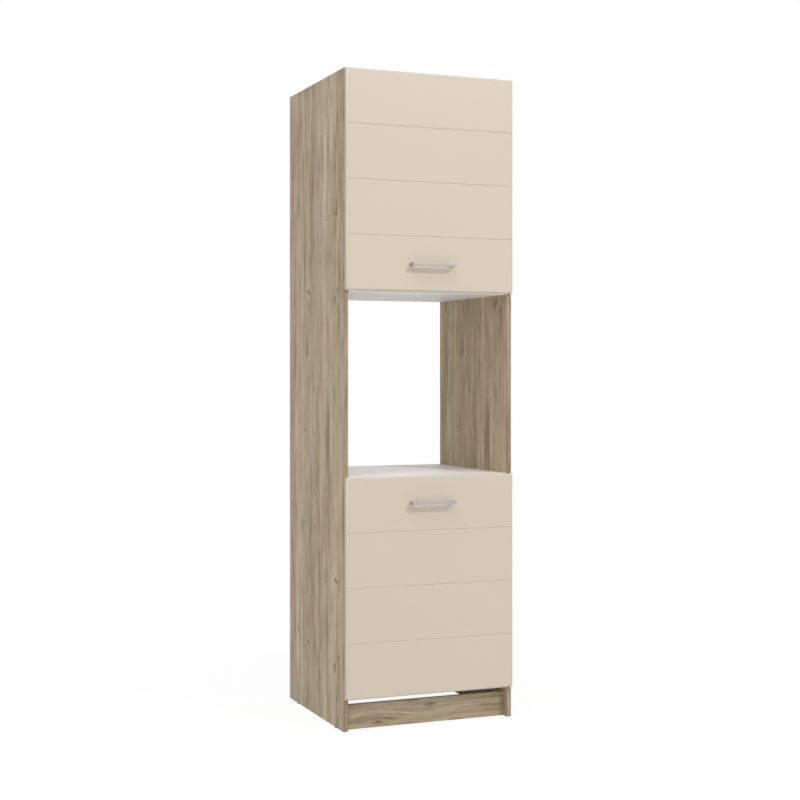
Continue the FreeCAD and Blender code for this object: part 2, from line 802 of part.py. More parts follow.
def hinge_arm_screw(side, y):
    x = side * hinge_x
    face = arm_high + flange_thickness - arm_channel_height
    head = rod(arm_screw_radius, (x, y, face - arm_screw_height), (0, 0, 1), arm_screw_height)
    shank = rod(arm_screw_radius / 2, (x, y, face), (0, 0, 1),
                arm_channel_wall + slide_fit + arm_screw_bite)
    slot = box((x - arm_screw_radius, x + arm_screw_radius),
               (y - screw_slot_width / 2, y + screw_slot_width / 2),
               (face - arm_screw_height, face - arm_screw_height / 2))
    return join([head, shank]).cut(slot)


# ---- flap struts ----
def strut_point(distance, x):
    return along(strut_foot, strut_line, distance) + vec(x, 0, 0)


def strut_tube(side):
    """Closed tube with the rod's guide at its end and an eye on the lower stud."""
    x = side * strut_x
    eye = rod(eye_radius, (x - eye_thickness / 2, strut_foot.y, strut_foot.z), (1, 0, 0), eye_thickness)
    neck = rod(strut_neck_radius, strut_point(0, x), strut_line, strut_tube_start + merge_overlap)
    tube = rod(strut_tube_radius, strut_point(strut_tube_start, x), strut_line,
               strut_tube_end - strut_tube_start)
    chamber = rod(strut_tube_radius - strut_tube_wall, strut_point(strut_tube_start + strut_cap, x),
                  strut_line, strut_tube_end - strut_tube_start - 2 * strut_cap)
    guide_start = strut_tube_end - strut_cap - cut_margin
    guide = rod(strut_rod_radius + pin_fit, strut_point(guide_start, x), strut_line,
                strut_cap + 2 * cut_margin)
    bore = rod(stud_radius + pin_fit, (x - eye_thickness, strut_foot.y, strut_foot.z), (1, 0, 0),
               2 * eye_thickness)
    return join([eye, neck, tube]).cut([chamber, guide, bore])


def strut_rod(side):
    """Piston and rod with the eye that meets the flap's stud."""
    x = side * strut_x
    shaft = rod(strut_rod_radius, strut_point(piston_start, x), strut_line,
                strut_length - piston_start - eye_radius + merge_overlap)
    piston = rod(strut_tube_radius - strut_tube_wall - pin_fit, strut_point(piston_start, x), strut_line,
                 piston_length)
    eye = rod(eye_radius, (x - eye_thickness / 2, strut_head.y, strut_head.z), (1, 0, 0), eye_thickness)
    return join([shaft, piston, eye])


def strut_side_bracket(side):
    """Plate on the side panel with the stud that the tube turns on."""
    face = side * inner_half
    plate_x = side * (inner_half - bracket_thickness)
    eye_near = side * (strut_x + eye_thickness / 2 + slide_fit)
    eye_far = side * (strut_x - eye_thickness / 2 - slide_fit)
    plate = box((face, plate_x), (strut_foot.y - bracket_half_width, strut_foot.y + bracket_half_width),
                (strut_foot.z - bracket_half_height, strut_foot.z + bracket_half_height))
    inward = (-side, 0, 0)
    shoulder = rod(stud_shoulder_radius, (plate_x, strut_foot.y, strut_foot.z), inward,
                   abs(plate_x - eye_near))
    stud = rod(stud_radius, (plate_x, strut_foot.y, strut_foot.z), inward, abs(plate_x - eye_far))
    head = rod(stud_head_radius, (eye_far, strut_foot.y, strut_foot.z), inward, stud_head_height)
    holes = [wood_screw_hole(place, (side, 0, 0)) for place in strut_bracket_screws(side)]
    return join([plate, shoulder, stud, head]).cut(holes)


def strut_flap_bracket(side):
    """Angle on the flap whose short stud faces the rod's eye."""
    stud_face = strut_x - eye_thickness / 2 - slide_fit
    ear_outer = stud_face - ear_stud_length
    ear_inner = ear_outer - ear_thickness
    base = box((side * (ear_outer - ear_base_width), side * ear_outer),
               (front_back_face, front_back_face + bracket_thickness),
               (strut_head.z - ear_base_half_height, strut_head.z + ear_base_half_height))
    ear = box((side * ear_inner, side * ear_outer), (front_back_face, strut_head.y),
              (strut_head.z - ear_half_width, strut_head.z + ear_half_width))
    tip = rod(ear_half_width, (side * ear_inner, strut_head.y, strut_head.z), (side, 0, 0), ear_thickness)
    stud = rod(stud_radius, (side * ear_outer, strut_head.y, strut_head.z), (side, 0, 0), ear_stud_length)
    holes = [wood_screw_hole(place, (0, -1, 0)) for place in ear_screws(side)]
    return join([base, ear, tip, stud]).cut(holes)


def strut_side_screws(side):
    return [wood_screw(place, (side, 0, 0)) for place in strut_bracket_screws(side)]


# ---- pull-out ----
def corner_screw_levels():
    span = drawer_side_height - 2 * drawer_screw_inset
    return [drawer_low + drawer_screw_inset + span * step / (drawer_screw_rows - 1)
            for step in range(drawer_screw_rows)]


def corner_screw_places():
    """(y, z) of the screws through each drawer side into the cross boards."""
    rows = (drawer_front + drawer_board / 2, drawer_back - drawer_board / 2)
    return [(y, z) for y in rows for z in corner_screw_levels()]


def corner_screw(side, y, z):
    start = (side * drawer_half, y, z)
    inward = (-side, 0, 0)
    return join([
        cone(drawer_screw_head_radius, drawer_screw_radius, start, inward, drawer_screw_head_height),
        rod(drawer_screw_radius, start, inward, drawer_screw_length),
    ])


def corner_screw_hole(side, y, z):
    start = (side * drawer_half, y, z)
    inward = (-side, 0, 0)
    return join([
        cone(drawer_screw_head_radius + fixed_fit, drawer_screw_radius + fixed_fit, start, inward,
             drawer_screw_head_height),
        rod(drawer_screw_radius + fixed_fit, start, inward, drawer_screw_length + fixed_fit),
    ])


def front_screw_places():
    """Heads of the screws through the drawer's front board into the tall front."""
    x = drawer_half - drawer_board - front_screw_side_inset
    levels = (drawer_low + drawer_board + front_screw_edge_inset, drawer_high - front_screw_edge_inset)
    return [(side * x, drawer_front + drawer_board, level) for side in SIDES for level in levels]


def lower_front():
    panel = front_panel(lower_front_low, lower_front_high)
    level = handle_level(lower_front_low, lower_front_high, True)
    holes = [handle_screw_hole(side, level) for side in SIDES]
    holes += [wood_screw_hole(place, (0, -1, 0), front_screw_length) for place in front_screw_places()]
    return panel.cut(holes)


def drawer_side(side):
    panel = box((side * (drawer_half - drawer_board), side * drawer_half), (drawer_front, drawer_back),
                (drawer_low, drawer_high))
    holes = [corner_screw_hole(side, y, z) for y, z in corner_screw_places()]
    holes += [wood_screw_hole((side * (drawer_half + runner_sheet), y, runner_z), (-side, 0, 0))
              for y in runner_screw_places(runner_front)]
    return panel.cut(holes)


def drawer_cross_board(front):
    inner = drawer_half - drawer_board
    panel = box((-inner, inner), (front, front + drawer_board), (drawer_low, drawer_high))
    holes = [corner_screw_hole(side, y, z) for side in SIDES for y, z in corner_screw_places()
             if front < y < front + drawer_board]
    holes += [wood_screw_hole(place, (0, -1, 0), front_screw_length) for place in front_screw_places()
              if abs(place[1] - front - drawer_board) < tolerance]
    return panel.cut(holes)


def drawer_bottom():
    inner = drawer_half - drawer_board
    return box((-inner, inner), (drawer_front + drawer_board, drawer_back - drawer_board),
               (drawer_low, drawer_low + drawer_board))


def channel(side, start, end, web_start, half_height):
    """Runner member of C section between two distances from the side panel."""
    def from_panel(distance):
        return side * (inner_half - distance)

    y = (runner_front, runner_front + runner_length)
    web = box((from_panel(web_start), from_panel(web_start + runner_sheet)), y,
              (runner_z - half_height, runner_z + half_height))
    flanges = [box((from_panel(start), from_panel(end)), y,
                   (runner_z + sign * half_height, runner_z + sign * (half_height - runner_sheet)))
               for sign in SIDES]
    return join([web] + flanges)


def runner_outer(side):
    member = channel(side, 0, runner_outer_lip, 0, runner_height / 2)
    return member.cut([wood_screw_hole((side * (inner_half - runner_sheet), y, runner_z), (side, 0, 0))
                       for y in runner_screw_places(runner_front)])


def runner_middle(side):
    half = runner_height / 2 - runner_sheet - runner_gap
    return channel(side, runner_middle_start, runner_middle_end, runner_middle_start, half)


def runner_inner(side):
    half = runner_height / 2 - 2 * (runner_sheet + runner_gap)
    member = channel(side, runner_inner_start, runner_space, runner_space - runner_sheet, half)
    return member.cut([wood_screw_hole((side * (drawer_half + runner_sheet), y, runner_z), (-side, 0, 0))
                       for y in runner_screw_places(runner_front)])


# ---- sub-parts ----
def save_carcass():
    save("side_panel_left", [side_panel(-1)])
    save("side_panel_right", [side_panel(1)])
    save("side_edge_bands", side_bands())
    for name in ("bottom_panel", "niche_floor", "niche_ceiling", "upper_shelf"):
        save(name, [level_board(name)])
    save("top_panel", [top_panel()])
    save("board_edge_bands", level_bands(["bottom_panel", "niche_floor", "niche_ceiling", "top_panel"]))
    save("shelf_edge_band", level_bands(["upper_shelf"]))
    save("plinth_front", [front_plinth()])
    save("plinth_rear", [rear_board(0, plinth_height)])
    save("rail_under_niche", [rear_board(UPPER_RAIL_LOW, rail_height)])
    save("rail_behind_drawer", [rear_board(LOWER_RAIL_LOW, rail_height)])
    save("lower_back_panel", [back_panel(plinth_space, floor_top)])
    save("upper_back_panel", [back_panel(ceiling_low, side_height)])
    save("back_nails", back_nails())
    save("glides", [glide(x, y) for x, y in glide_places()])
    save("glide_nails", [glide_nail(x, y) for x, y in glide_places()])


def save_carcass_joints():
    save("confirmat_screws", [confirmat(side, level) for side in SIDES for level in confirmat_levels()])
    save("cover_caps", [cover_cap(side, level) for side in SIDES for level in confirmat_levels()])
    save("dowels", [dowel(side, y, z) for side in SIDES for y, z in dowel_places()])
    save("cam_bolts", [cam_bolt(side, y, low + board / 2)
                       for side in SIDES for y, low, faces in cam_places()])
    save("cam_discs", [cam_disc(side, y, low, faces) for side in SIDES for y, low, faces in cam_places()])
    save("wall_brackets", [wall_bracket(side) for side in SIDES])
    fittings = []
    for side in SIDES:
        fittings += strut_side_screws(side)
        fittings += [wood_screw(place, (0, 0, 1)) for place in plate_screws(side)]
        fittings.append(wood_screw(wall_bracket_screw_place(side), (0, 0, 1)))
    save("carcass_fitting_screws", fittings)


def save_flap():
    level = handle_level(upper_front_low, upper_front_high, False)
    save("upper_flap", [upper_flap()])
    save("upper_handle", [handle(level)])
    save("upper_handle_screws", [handle_screw(side, level) for side in SIDES])
    save("hinge_cups", [hinge_cup(side) for side in SIDES])
    save("hinge_pins", [hinge_pin(side) for side in SIDES])
    save("hinge_arms", [hinge_arm(side) for side in SIDES])
    save("hinge_plates", [hinge_plate(side) for side in SIDES])
    save("hinge_arm_screws", [hinge_arm_screw(side, y) for side in SIDES for y in arm_screw_places])
    save("flap_bumpers", [bumper(side, upper_front_low + bumper_inset) for side in SIDES])
    fittings = []
    for side in SIDES:
        fittings += [wood_screw(place, (0, -1, 0)) for place in cup_screws(side) + ear_screws(side)]
    save("flap_fitting_screws", fittings)


def save_struts():
    save("strut_side_brackets", [strut_side_bracket(side) for side in SIDES])
    save("strut_flap_brackets", [strut_flap_bracket(side) for side in SIDES])
    for side, word in zip(SIDES, ("left", "right")):
        save("strut_tube_" + word, [strut_tube(side)])
        save("strut_rod_" + word, [strut_rod(side)])


def save_pull_out():
    level = handle_level(lower_front_low, lower_front_high, True)
    save("lower_front", [lower_front()])
    save("lower_handle", [handle(level)])
    save("lower_handle_screws", [handle_screw(side, level) for side in SIDES])
    save("drawer_side_left", [drawer_side(-1)])
    save("drawer_side_right", [drawer_side(1)])
    save("drawer_front_board", [drawer_cross_board(drawer_front)])
    save("drawer_back_board", [drawer_cross_board(drawer_back - drawer_board)])
    save("drawer_bottom", [drawer_bottom()])
    save("drawer_corner_screws", [corner_screw(side, y, z)
                                  for side in SIDES for y, z in corner_screw_places()])
    save("front_fixing_screws", [wood_screw(place, (0, -1, 0), front_screw_length)
                                 for place in front_screw_places()])
    levels = (lower_front_low + bumper_inset, lower_front_high - bumper_inset)
    save("drawer_bumpers", [bumper(side, z) for side in SIDES for z in levels])


def save_runners():
    save("runner_outer_members", [runner_outer(side) for side in SIDES])
    save("runner_middle_left", [runner_middle(-1)])
    save("runner_middle_right", [runner_middle(1)])
    save("runner_inner_members", [runner_inner(side) for side in SIDES])
    places = runner_screw_places(runner_front)
    outer_web = inner_half - runner_sheet
    inner_web = drawer_half + runner_sheet
    save("runner_carcass_screws", [wood_screw((side * outer_web, y, runner_z), (side, 0, 0))
                                   for side in SIDES for y in places])
    save("runner_drawer_screws", [wood_screw((side * inner_web, y, runner_z), (-side, 0, 0))
                                  for side in SIDES for y in places])


os.makedirs("parts", exist_ok=True)
save_carcass()
save_carcass_joints()
save_flap()
save_struts()
save_pull_out()
save_runners()
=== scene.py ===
import json
import math

import bmesh
import bpy
from mathutils import Matrix, Vector

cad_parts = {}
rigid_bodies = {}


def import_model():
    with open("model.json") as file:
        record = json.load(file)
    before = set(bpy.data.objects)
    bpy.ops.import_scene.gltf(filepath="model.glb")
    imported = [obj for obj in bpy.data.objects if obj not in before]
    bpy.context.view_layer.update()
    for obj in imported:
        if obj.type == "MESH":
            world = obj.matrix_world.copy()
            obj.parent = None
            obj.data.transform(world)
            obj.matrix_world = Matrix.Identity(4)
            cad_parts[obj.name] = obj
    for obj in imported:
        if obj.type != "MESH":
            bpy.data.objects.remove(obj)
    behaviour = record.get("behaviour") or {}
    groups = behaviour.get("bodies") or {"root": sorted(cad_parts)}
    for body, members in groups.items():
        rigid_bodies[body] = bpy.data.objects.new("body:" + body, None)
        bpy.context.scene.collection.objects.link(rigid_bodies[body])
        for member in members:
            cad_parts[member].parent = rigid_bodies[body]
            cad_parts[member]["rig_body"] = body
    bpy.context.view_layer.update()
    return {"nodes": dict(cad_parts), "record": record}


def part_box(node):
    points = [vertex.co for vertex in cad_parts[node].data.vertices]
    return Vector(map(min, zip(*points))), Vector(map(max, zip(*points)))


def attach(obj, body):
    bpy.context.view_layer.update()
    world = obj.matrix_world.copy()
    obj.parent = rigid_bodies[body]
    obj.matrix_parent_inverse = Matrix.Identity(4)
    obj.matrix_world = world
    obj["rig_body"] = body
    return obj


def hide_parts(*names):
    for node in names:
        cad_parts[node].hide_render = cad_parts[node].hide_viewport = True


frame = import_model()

bl_info = {
    "name": "Tall oven housing unit",
    "version": (1, 0, 0),
    "blender": (4, 5, 0),
    "location": "3D View > Sidebar > Oven housing",
    "description": "Builds the finished look of a tall oven housing unit around its packed frame",
    "category": "Object",
}

NEAR = 0.00005                # two places this near are the same place, in metres
MERGE = 0.000001              # corners of a carried-over mesh that are this near are one corner
FLAT_ANGLE = 0.4              # faces that turn less than this, in degrees, are one face
SHARP_ANGLE = 40.0            # an edge that turns more than this, in degrees, is rounded
SHADE_ANGLE = 38.0            # an edge that turns more than this is shaded sharp
FRONT_SHADE_ANGLE = 60.0      # the same on the fronts, whose grooves shade softly
BOARD_EDGE_LENGTH = 0.012     # shorter edges of boards are bores and stay sharp
METAL_EDGE_LENGTH = 0.002     # shorter edges of fittings stay sharp
FACING = 0.9                  # a face whose normal is this near an axis faces along it
STRAIGHT = 0.999              # the same for an edge
X, Y, Z = 0, 1, 2             # the axes, for the helpers that take one
# Steps of a rounding: boards and fittings, edge bands, fronts, then the handle's corners, throats and long edges.
EDGE_STEPS, BAND_STEPS, FRONT_STEPS = 2, 3, 8
CORNER_STEPS, THROAT_STEPS, BAR_STEPS = 6, 4, 3
BODY = {node: item["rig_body"] for node, item in frame["nodes"].items()}
SLOT = {row["node"]: row["material_slot"] for row in frame["record"]["subparts"]}

# ---- the decor, in metres ----
# The print of the sides starts again after DECOR_REPEAT, counted down from DECOR_END.
DECOR_REPEAT = 1.2016
DECOR_END = 2.1016
# A mark is: place across and along the grain, half sizes along and across its own axis, slope of that axis in
# degrees from straight across the grain, darkness, and how far the grain flows round it.
SIDE_MARKS = (
    (0.092, 1.437, 0.014, 0.006, 24, 0.95, 0.70),
    (-0.184, 1.683, 0.014, 0.006, 24, 0.95, 0.70),
    (-0.204, 1.432, 0.015, 0.008, -45, 0.75, 0.40),
    (-0.174, 1.399, 0.020, 0.008, -55, 0.75, 0.40),
    (0.104, 1.262, 0.024, 0.011, 80, 0.55, 0.30),
    (0.110, 1.232, 0.013, 0.016, 20, 0.60, 0.0),
    (0.133, 0.966, 0.011, 0.005, 10, 0.60, 0.30),
    (0.043, 1.103, 0.013, 0.007, 85, 0.60, 0.40),
    (-0.113, 1.905, 0.105, 0.0024, 90, 0.80, 0.0),
    (0.089, 1.765, 0.072, 0.0030, 96, 0.62, 0.0),
    (0.095, 1.450, 0.210, 0.0022, 91, 0.40, 0.0),
    (-0.197, 1.060, 0.140, 0.0030, 91, 0.40, 0.0),
    (-0.142, 1.730, 0.012, 0.006, 15, 0.42, 0.30),
    (-0.083, 1.670, 0.010, 0.005, 5, 0.36, 0.20),
    (-0.078, 1.975, 0.011, 0.006, 5, 0.32, 0.20),
    (-0.150, 1.600, 0.036, 0.008, 88, 0.34, 0.0),
    (0.020, 1.400, 0.065, 0.010, 92, 0.24, 0.0),
    (-0.018, 1.862, 0.036, 0.011, 80, 0.28, 0.0),
    (0.063, 2.005, 0.062, 0.008, 88, 0.28, 0.0),
    (0.272, 1.755, 0.026, 0.010, 84, 0.34, 0.0),
    (0.163, 1.592, 0.028, 0.011, 90, 0.28, 0.0),
    (0.163, 2.026, 0.016, 0.009, 90, 0.26, 0.0),
    (-0.100, 1.545, 0.060, 0.006, 86, 0.26, 0.0),
)
# A broad stripe is: place across the grain, half width, lightness, warmth, greenness.
SIDE_STRIPES = (
    (-0.238, 0.018, -0.25, 0.20, -1.0),
    (-0.196, 0.014, 0.0, 0.30, 1.1),
    (-0.150, 0.030, 0.30, -0.10, -0.2),
    (-0.072, 0.026, 0.90, -0.25, -0.2),
    (0.008, 0.046, -0.35, 0.0, 0.0),
    (0.047, 0.014, -0.90, 0.0, 0.0),
    (0.126, 0.014, -0.70, 0.0, 0.0),
    (0.156, 0.022, 0.05, 0.80, 0.5),
    (0.205, 0.026, 0.45, -1.15, 0.7),
    (0.262, 0.028, -0.45, 1.30, -0.5),
    (0.294, 0.012, -0.35, -0.60, 0.0),
)
PLINTH_MARKS = (
    (0.064, 0.016, 0.018, 0.006, 85, 0.80, 0.60),
    (0.021, -0.169, 0.015, 0.005, 98, 0.75, 0.30),
    (0.034, -0.235, 0.040, 0.008, 78, 0.35, 0.15),
    (0.055, -0.080, 0.070, 0.006, 95, 0.30, 0.0),
    (0.028, 0.120, 0.110, 0.006, 87, 0.22, 0.0),
)

# How much each layer of the grain, and each stripe, changes the decor.
TONE_SHARE, STREAK_SHARE, CLOUD_SHARE, HAIR_SHARE = 0.58, 0.74, 0.58, 0.40
STRIPE_LIGHT, STRIPE_WARM, STRIPE_GREEN = 0.16, 0.055, 0.035
STRIPE_CORE = 0.35            # a stripe starts fading here, in shares of its half width
WARM_DRIFT = 0.20             # drift of warmth from streak to streak
BLUE_SHARE = 1.2              # how much blue a warmer tone loses
# Levels of the grain between which it turns from the dark to the middle and from the middle to the light tone.
DARK_TURN, LIGHT_TURN = (-0.22, -0.01), (-0.01, 0.17)
# Tones of the marks, strokes, pores and the painted shade along the sides' edges, in shares of the dark tone.
MARK_TONE, STROKE_TONE, PORE_TONE, PAINTED_SHADE_TONE = 0.60, 0.82, 0.8, 0.6
STROKE_SHARE, PORE_SHARE, PAINTED_SHADE_SHARE = 0.95, 0.30, 0.62      # how fully each covers the decor
SWAY = 0.030                  # how far the grain wanders sideways, in metres
RAGGED = 1.1                  # how ragged the outlines of the marks are
MARK_CORE, MARK_END = 0.20, 1.75    # a mark starts and stops fading here, in shares of its half sizes
FLOW_LONG, FLOW_WIDE = 4.5, 7.0     # reach of the flow round a mark, in its half sizes
PAINTED_SHADE_WIDTH = 0.004                   # width of the painted shade, a darker line along a side's lower and rear edge, in metres
BAND_SHADE, PLINTH_SHADE = 0.80, 0.93
GROOVE_PAINTED_SHADE = 0.88           # painted shade: the foil is darker at a groove's bottom, where shade falls

# Section of a front's groove: share of its half width, share of its depth. Lips and bottom are a little round.
GROOVE_SECTION = ((0.0, 0.94), (0.12, 0.88), (0.86, 0.14), (0.95, 0.055), (1.04, 0.015), (1.14, 0.0))
GROOVE_CORE = 0.7             # share of the half width that takes the groove's painted shade
GROOVE_PAST = 1.2             # faces nearer than this share of the depth can be a groove's
# Section of a cover cap: share of its radius, share of its height.
CAP_SECTION = ((0.0, 1.0), (0.45, 0.97), (0.75, 0.82), (0.93, 0.52), (1.0, 0.16), (1.0, 0.0))
CAP_STEPS = 40
POCKET_STEPS = 64
POCKET_PAST = 0.002           # how far the cutter of a hinge pocket stands out of the flap, in metres

# ---- the stage ----
# The photograph's frame is 800 pixels wide and high, and its horizon lies 25 pixels above the middle.
FRAME_SIZE = 800.0
HORIZON_RISE = 25.0
CAMERA_PLACE = (-1.956186, -4.812964, 1.154053)
CAMERA_TURN = -0.38616        # about the upright axis, in radians
SENSOR = 36.0
LAMP_TARGET = (0.0, -0.27, 1.1)
KEY_PLACE, KEY_SIZE = (2.79, -5.88, 5.83), 0.54
SKY_PLACE, SKY_SIZE = (-3.20, -3.30, 8.20), 5.5
FLOOR_HALF = 9.0
FLOOR_TONE = (0.86, 0.86, 0.86)
FLOOR_GLOW = 1.04             # strength at which the floor shows white
FLOOR_NEAR, FLOOR_FAR = 0.9, 3.5    # between these distances the floor fades into the ground
FLOOR_SHARE = 0.88            # share of the glow near by; the rest keeps the object's shadow


# ---- settings that a user would change ----
class HousingOak(bpy.types.PropertyGroup):
    light: bpy.props.FloatVectorProperty(
        name="Light grain", description="Lightest tone of the oak decor", subtype="COLOR",
        size=3, min=0.0, max=1.0, default=(0.612, 0.497, 0.350))
    middle: bpy.props.FloatVectorProperty(
        name="Middle grain", description="Main tone of the oak decor", subtype="COLOR",
        size=3, min=0.0, max=1.0, default=(0.500, 0.397, 0.272))
    dark: bpy.props.FloatVectorProperty(
        name="Dark grain", description="Darkest tone of the oak decor", subtype="COLOR",
        size=3, min=0.0, max=1.0, default=(0.300, 0.224, 0.122))
    streak: bpy.props.FloatProperty(
        name="Streak width", description="Width of the decor's main streaks", subtype="DISTANCE",
        unit="LENGTH", min=0.002, max=0.1, default=0.013)


class HousingFront(bpy.types.PropertyGroup):
    colour: bpy.props.FloatVectorProperty(
        name="Front colour", description="Matt foil of the two fronts", subtype="COLOR",
        size=3, min=0.0, max=1.0, default=(0.700, 0.612, 0.505))
    edge_radius: bpy.props.FloatProperty(
        name="Edge radius", description="Rounding of the front's outer edges", subtype="DISTANCE",
        unit="LENGTH", min=0.0005, max=0.012, default=0.006)
    grooves: bpy.props.IntProperty(
        name="Grooves", description="Level grooves in each front", min=0, max=8, default=3)
    groove_width: bpy.props.FloatProperty(
        name="Groove width", description="Width of a groove at the front's face", subtype="DISTANCE",
        unit="LENGTH", min=0.001, max=0.01, default=0.0045)
    groove_depth: bpy.props.FloatProperty(
        name="Groove depth", description="Depth of a groove", subtype="DISTANCE",
        unit="LENGTH", min=0.0005, max=0.005, default=0.0012)


class HousingHandle(bpy.types.PropertyGroup):
    bar: bpy.props.FloatProperty(
        name="Bar", description="Thickness of the bar and of its legs", subtype="DISTANCE",
        unit="LENGTH", min=0.005, max=0.02, default=0.010)
    corner: bpy.props.FloatProperty(
        name="Corner", description="Outer radius where the bar turns into a leg", subtype="DISTANCE",
        unit="LENGTH", min=0.001, max=0.008, default=0.004)
    throat: bpy.props.FloatProperty(
        name="Throat", description="Inner radius where the bar turns into a leg", subtype="DISTANCE",
        unit="LENGTH", min=0.0005, max=0.005, default=0.0015)
    edge: bpy.props.FloatProperty(
        name="Edge", description="Rounding of the handle's long edges", subtype="DISTANCE",
        unit="LENGTH", min=0.0002, max=0.003, default=0.0012)


class HousingBoards(bpy.types.PropertyGroup):
    white: bpy.props.FloatVectorProperty(
        name="White", description="White melamine of the inner boards", subtype="COLOR",
        size=3, min=0.0, max=1.0, default=(0.930, 0.918, 0.902))
    chip: bpy.props.FloatVectorProperty(
        name="Core", description="Raw chipboard at unbanded edges", subtype="COLOR",
        size=3, min=0.0, max=1.0, default=(0.450, 0.330, 0.215))
    edge_radius: bpy.props.FloatProperty(
        name="Board edge", description="Rounding of the boards' edges", subtype="DISTANCE",
        unit="LENGTH", min=0.0001, max=0.002, default=0.0004)
    band_radius: bpy.props.FloatProperty(
        name="Band edge", description="Rounding of the edge bands' outer edges", subtype="DISTANCE",
        unit="LENGTH", min=0.0001, max=0.001, default=0.0007)


class HousingFittings(bpy.types.PropertyGroup):
    ease: bpy.props.FloatProperty(
        name="Ease", description="Rounding of the sheet metal fittings' edges", subtype="DISTANCE",
        unit="LENGTH", min=0.00005, max=0.001, default=0.00025)


class HousingStage(bpy.types.PropertyGroup):
    ambient: bpy.props.FloatProperty(
        name="Ambient", description="Strength of the even light from all round", min=0.0, max=2.0, default=0.55)
    key: bpy.props.FloatProperty(
        name="Key", description="Power of the small lamp high on the right", subtype="POWER", unit="POWER",
        min=0.0, default=174.0)
    sky: bpy.props.FloatProperty(
        name="Sky", description="Power of the wide lamp high on the left", subtype="POWER", unit="POWER",
        min=0.0, default=200.0)
    lens: bpy.props.FloatProperty(
        name="Lens", description="Focal length on a 36 mm wide sensor", subtype="DISTANCE_CAMERA",
        min=10.0, max=300.0, default=67.714)


def looks():
    return bpy.context.scene.oven_housing


# ---- node trees ----
MIX_FIRST, MIX_SECOND, MIX_RESULT = 6, 7, 2     # sockets of a colour Mix node


def four(colour):
    """A colour as a socket takes it: itself if it is a socket, else with full alpha."""
    return colour if isinstance(colour, bpy.types.NodeSocket) else (*colour, 1.0)


class Finish:
    """One material, whose nodes are added by short calls. Values are given as numbers or as sockets."""

    def __init__(self, name):
        self.material = bpy.data.materials.new(name)
        self.material.use_nodes = True
        self.tree = self.material.node_tree
        self.shader = self.tree.nodes["Principled BSDF"]
        self.object = self.node("ShaderNodeTexCoord").outputs["Object"]

    def node(self, kind, settings=None, **inputs):
        node = self.tree.nodes.new(kind)
        for key, value in (settings or {}).items():
            setattr(node, key, value)
        for key, value in inputs.items():
            self.feed(node.inputs[key.replace("_", " ")], value)
        return node

    def feed(self, socket, value):
        if isinstance(value, bpy.types.NodeSocket):
            self.tree.links.new(value, socket)
        else:
            socket.default_value = value

    def sum(self, operation, *values):
        node = self.tree.nodes.new("ShaderNodeMath")
        node.operation = operation
        for socket, value in zip(node.inputs, values):
            self.feed(socket, value)
        return node.outputs[0]

    def vector(self, operation, *values):
        node = self.tree.nodes.new("ShaderNodeVectorMath")
        node.operation = operation
        for socket, value in zip(node.inputs, values):
            self.feed(socket, value)
        return node.outputs["Value"] if operation in ("LENGTH", "DOT_PRODUCT") else node.outputs["Vector"]

    def split(self, vector):
        return self.node("ShaderNodeSeparateXYZ", Vector=vector).outputs

    def join(self, x, y, z=0.0):
        return self.node("ShaderNodeCombineXYZ", X=x, Y=y, Z=z).outputs[0]

    def noise(self, vector, detail=2.0, roughness=0.5, distortion=0.0):
        return self.node("ShaderNodeTexNoise", Vector=vector, Scale=1.0, Detail=detail,
                         Roughness=roughness, Distortion=distortion).outputs["Fac"]

    def even_noise(self, scale, detail=2.0, roughness=0.5):
        """Noise of the same scale in every direction, in waves per metre."""
        return self.noise(self.vector("MULTIPLY", self.object, (scale,) * 3), detail, roughness)

    def spread(self, value, low, high, start=0.0, end=1.0):
        """Value between low and high, brought to start and end and held there."""
        return self.node("ShaderNodeMapRange", {"interpolation_type": "SMOOTHSTEP"}, Value=value, From_Min=low,
                         From_Max=high, To_Min=start, To_Max=end).outputs["Result"]

    def mix(self, factor, first, second, blend="MIX"):
        node = self.node("ShaderNodeMix", {"data_type": "RGBA", "blend_type": blend})
        self.feed(node.inputs["Factor"], factor)
        self.feed(node.inputs[MIX_FIRST], four(first))
        self.feed(node.inputs[MIX_SECOND], four(second))
        return node.outputs[MIX_RESULT]

    def colour(self, value):
        self.feed(self.shader.inputs["Base Color"], four(value))

    def bump(self, height, distance, strength=1.0):
        node = self.node("ShaderNodeBump", Height=height, Distance=distance, Strength=strength)
        self.feed(self.shader.inputs["Normal"], node.outputs["Normal"])

    def surface(self, **values):
        for key, value in values.items():
            self.feed(self.shader.inputs[key.replace("_", " ")], value)


def times(colour, factor):
    return tuple(min(1.0, part * factor) for part in colour)


def grain_place(finish, grain):
    """(across, along) of the decor for faces whose grain runs along Z or along X."""
    x, y, z = finish.split(finish.object)
    if grain == "upright":
        return y, z
    if grain == "band":
        depth_stretch = 3.0
        return finish.sum("ADD", finish.sum("MULTIPLY", y, depth_stretch), x), z
    return z, x


def tilted_mark(finish, place, centre, half, slope, rough_edge=None):
    """1 at the middle of a slanted oval, falling to 0 at its outline."""
    turn = math.radians(slope)
    offset = finish.vector("SUBTRACT", place, (*centre, 0.0))
    long_way = finish.vector("DOT_PRODUCT", offset, (math.cos(turn) / half[0], math.sin(turn) / half[0], 0.0))
    short_way = finish.vector("DOT_PRODUCT", offset, (-math.sin(turn) / half[1], math.cos(turn) / half[1], 0.0))
    away = finish.vector("LENGTH", finish.join(long_way, short_way))
    if rough_edge is not None:
        away = finish.sum("ADD", away, rough_edge)
    return finish.spread(away, MARK_CORE, MARK_END, 1.0, 0.0)


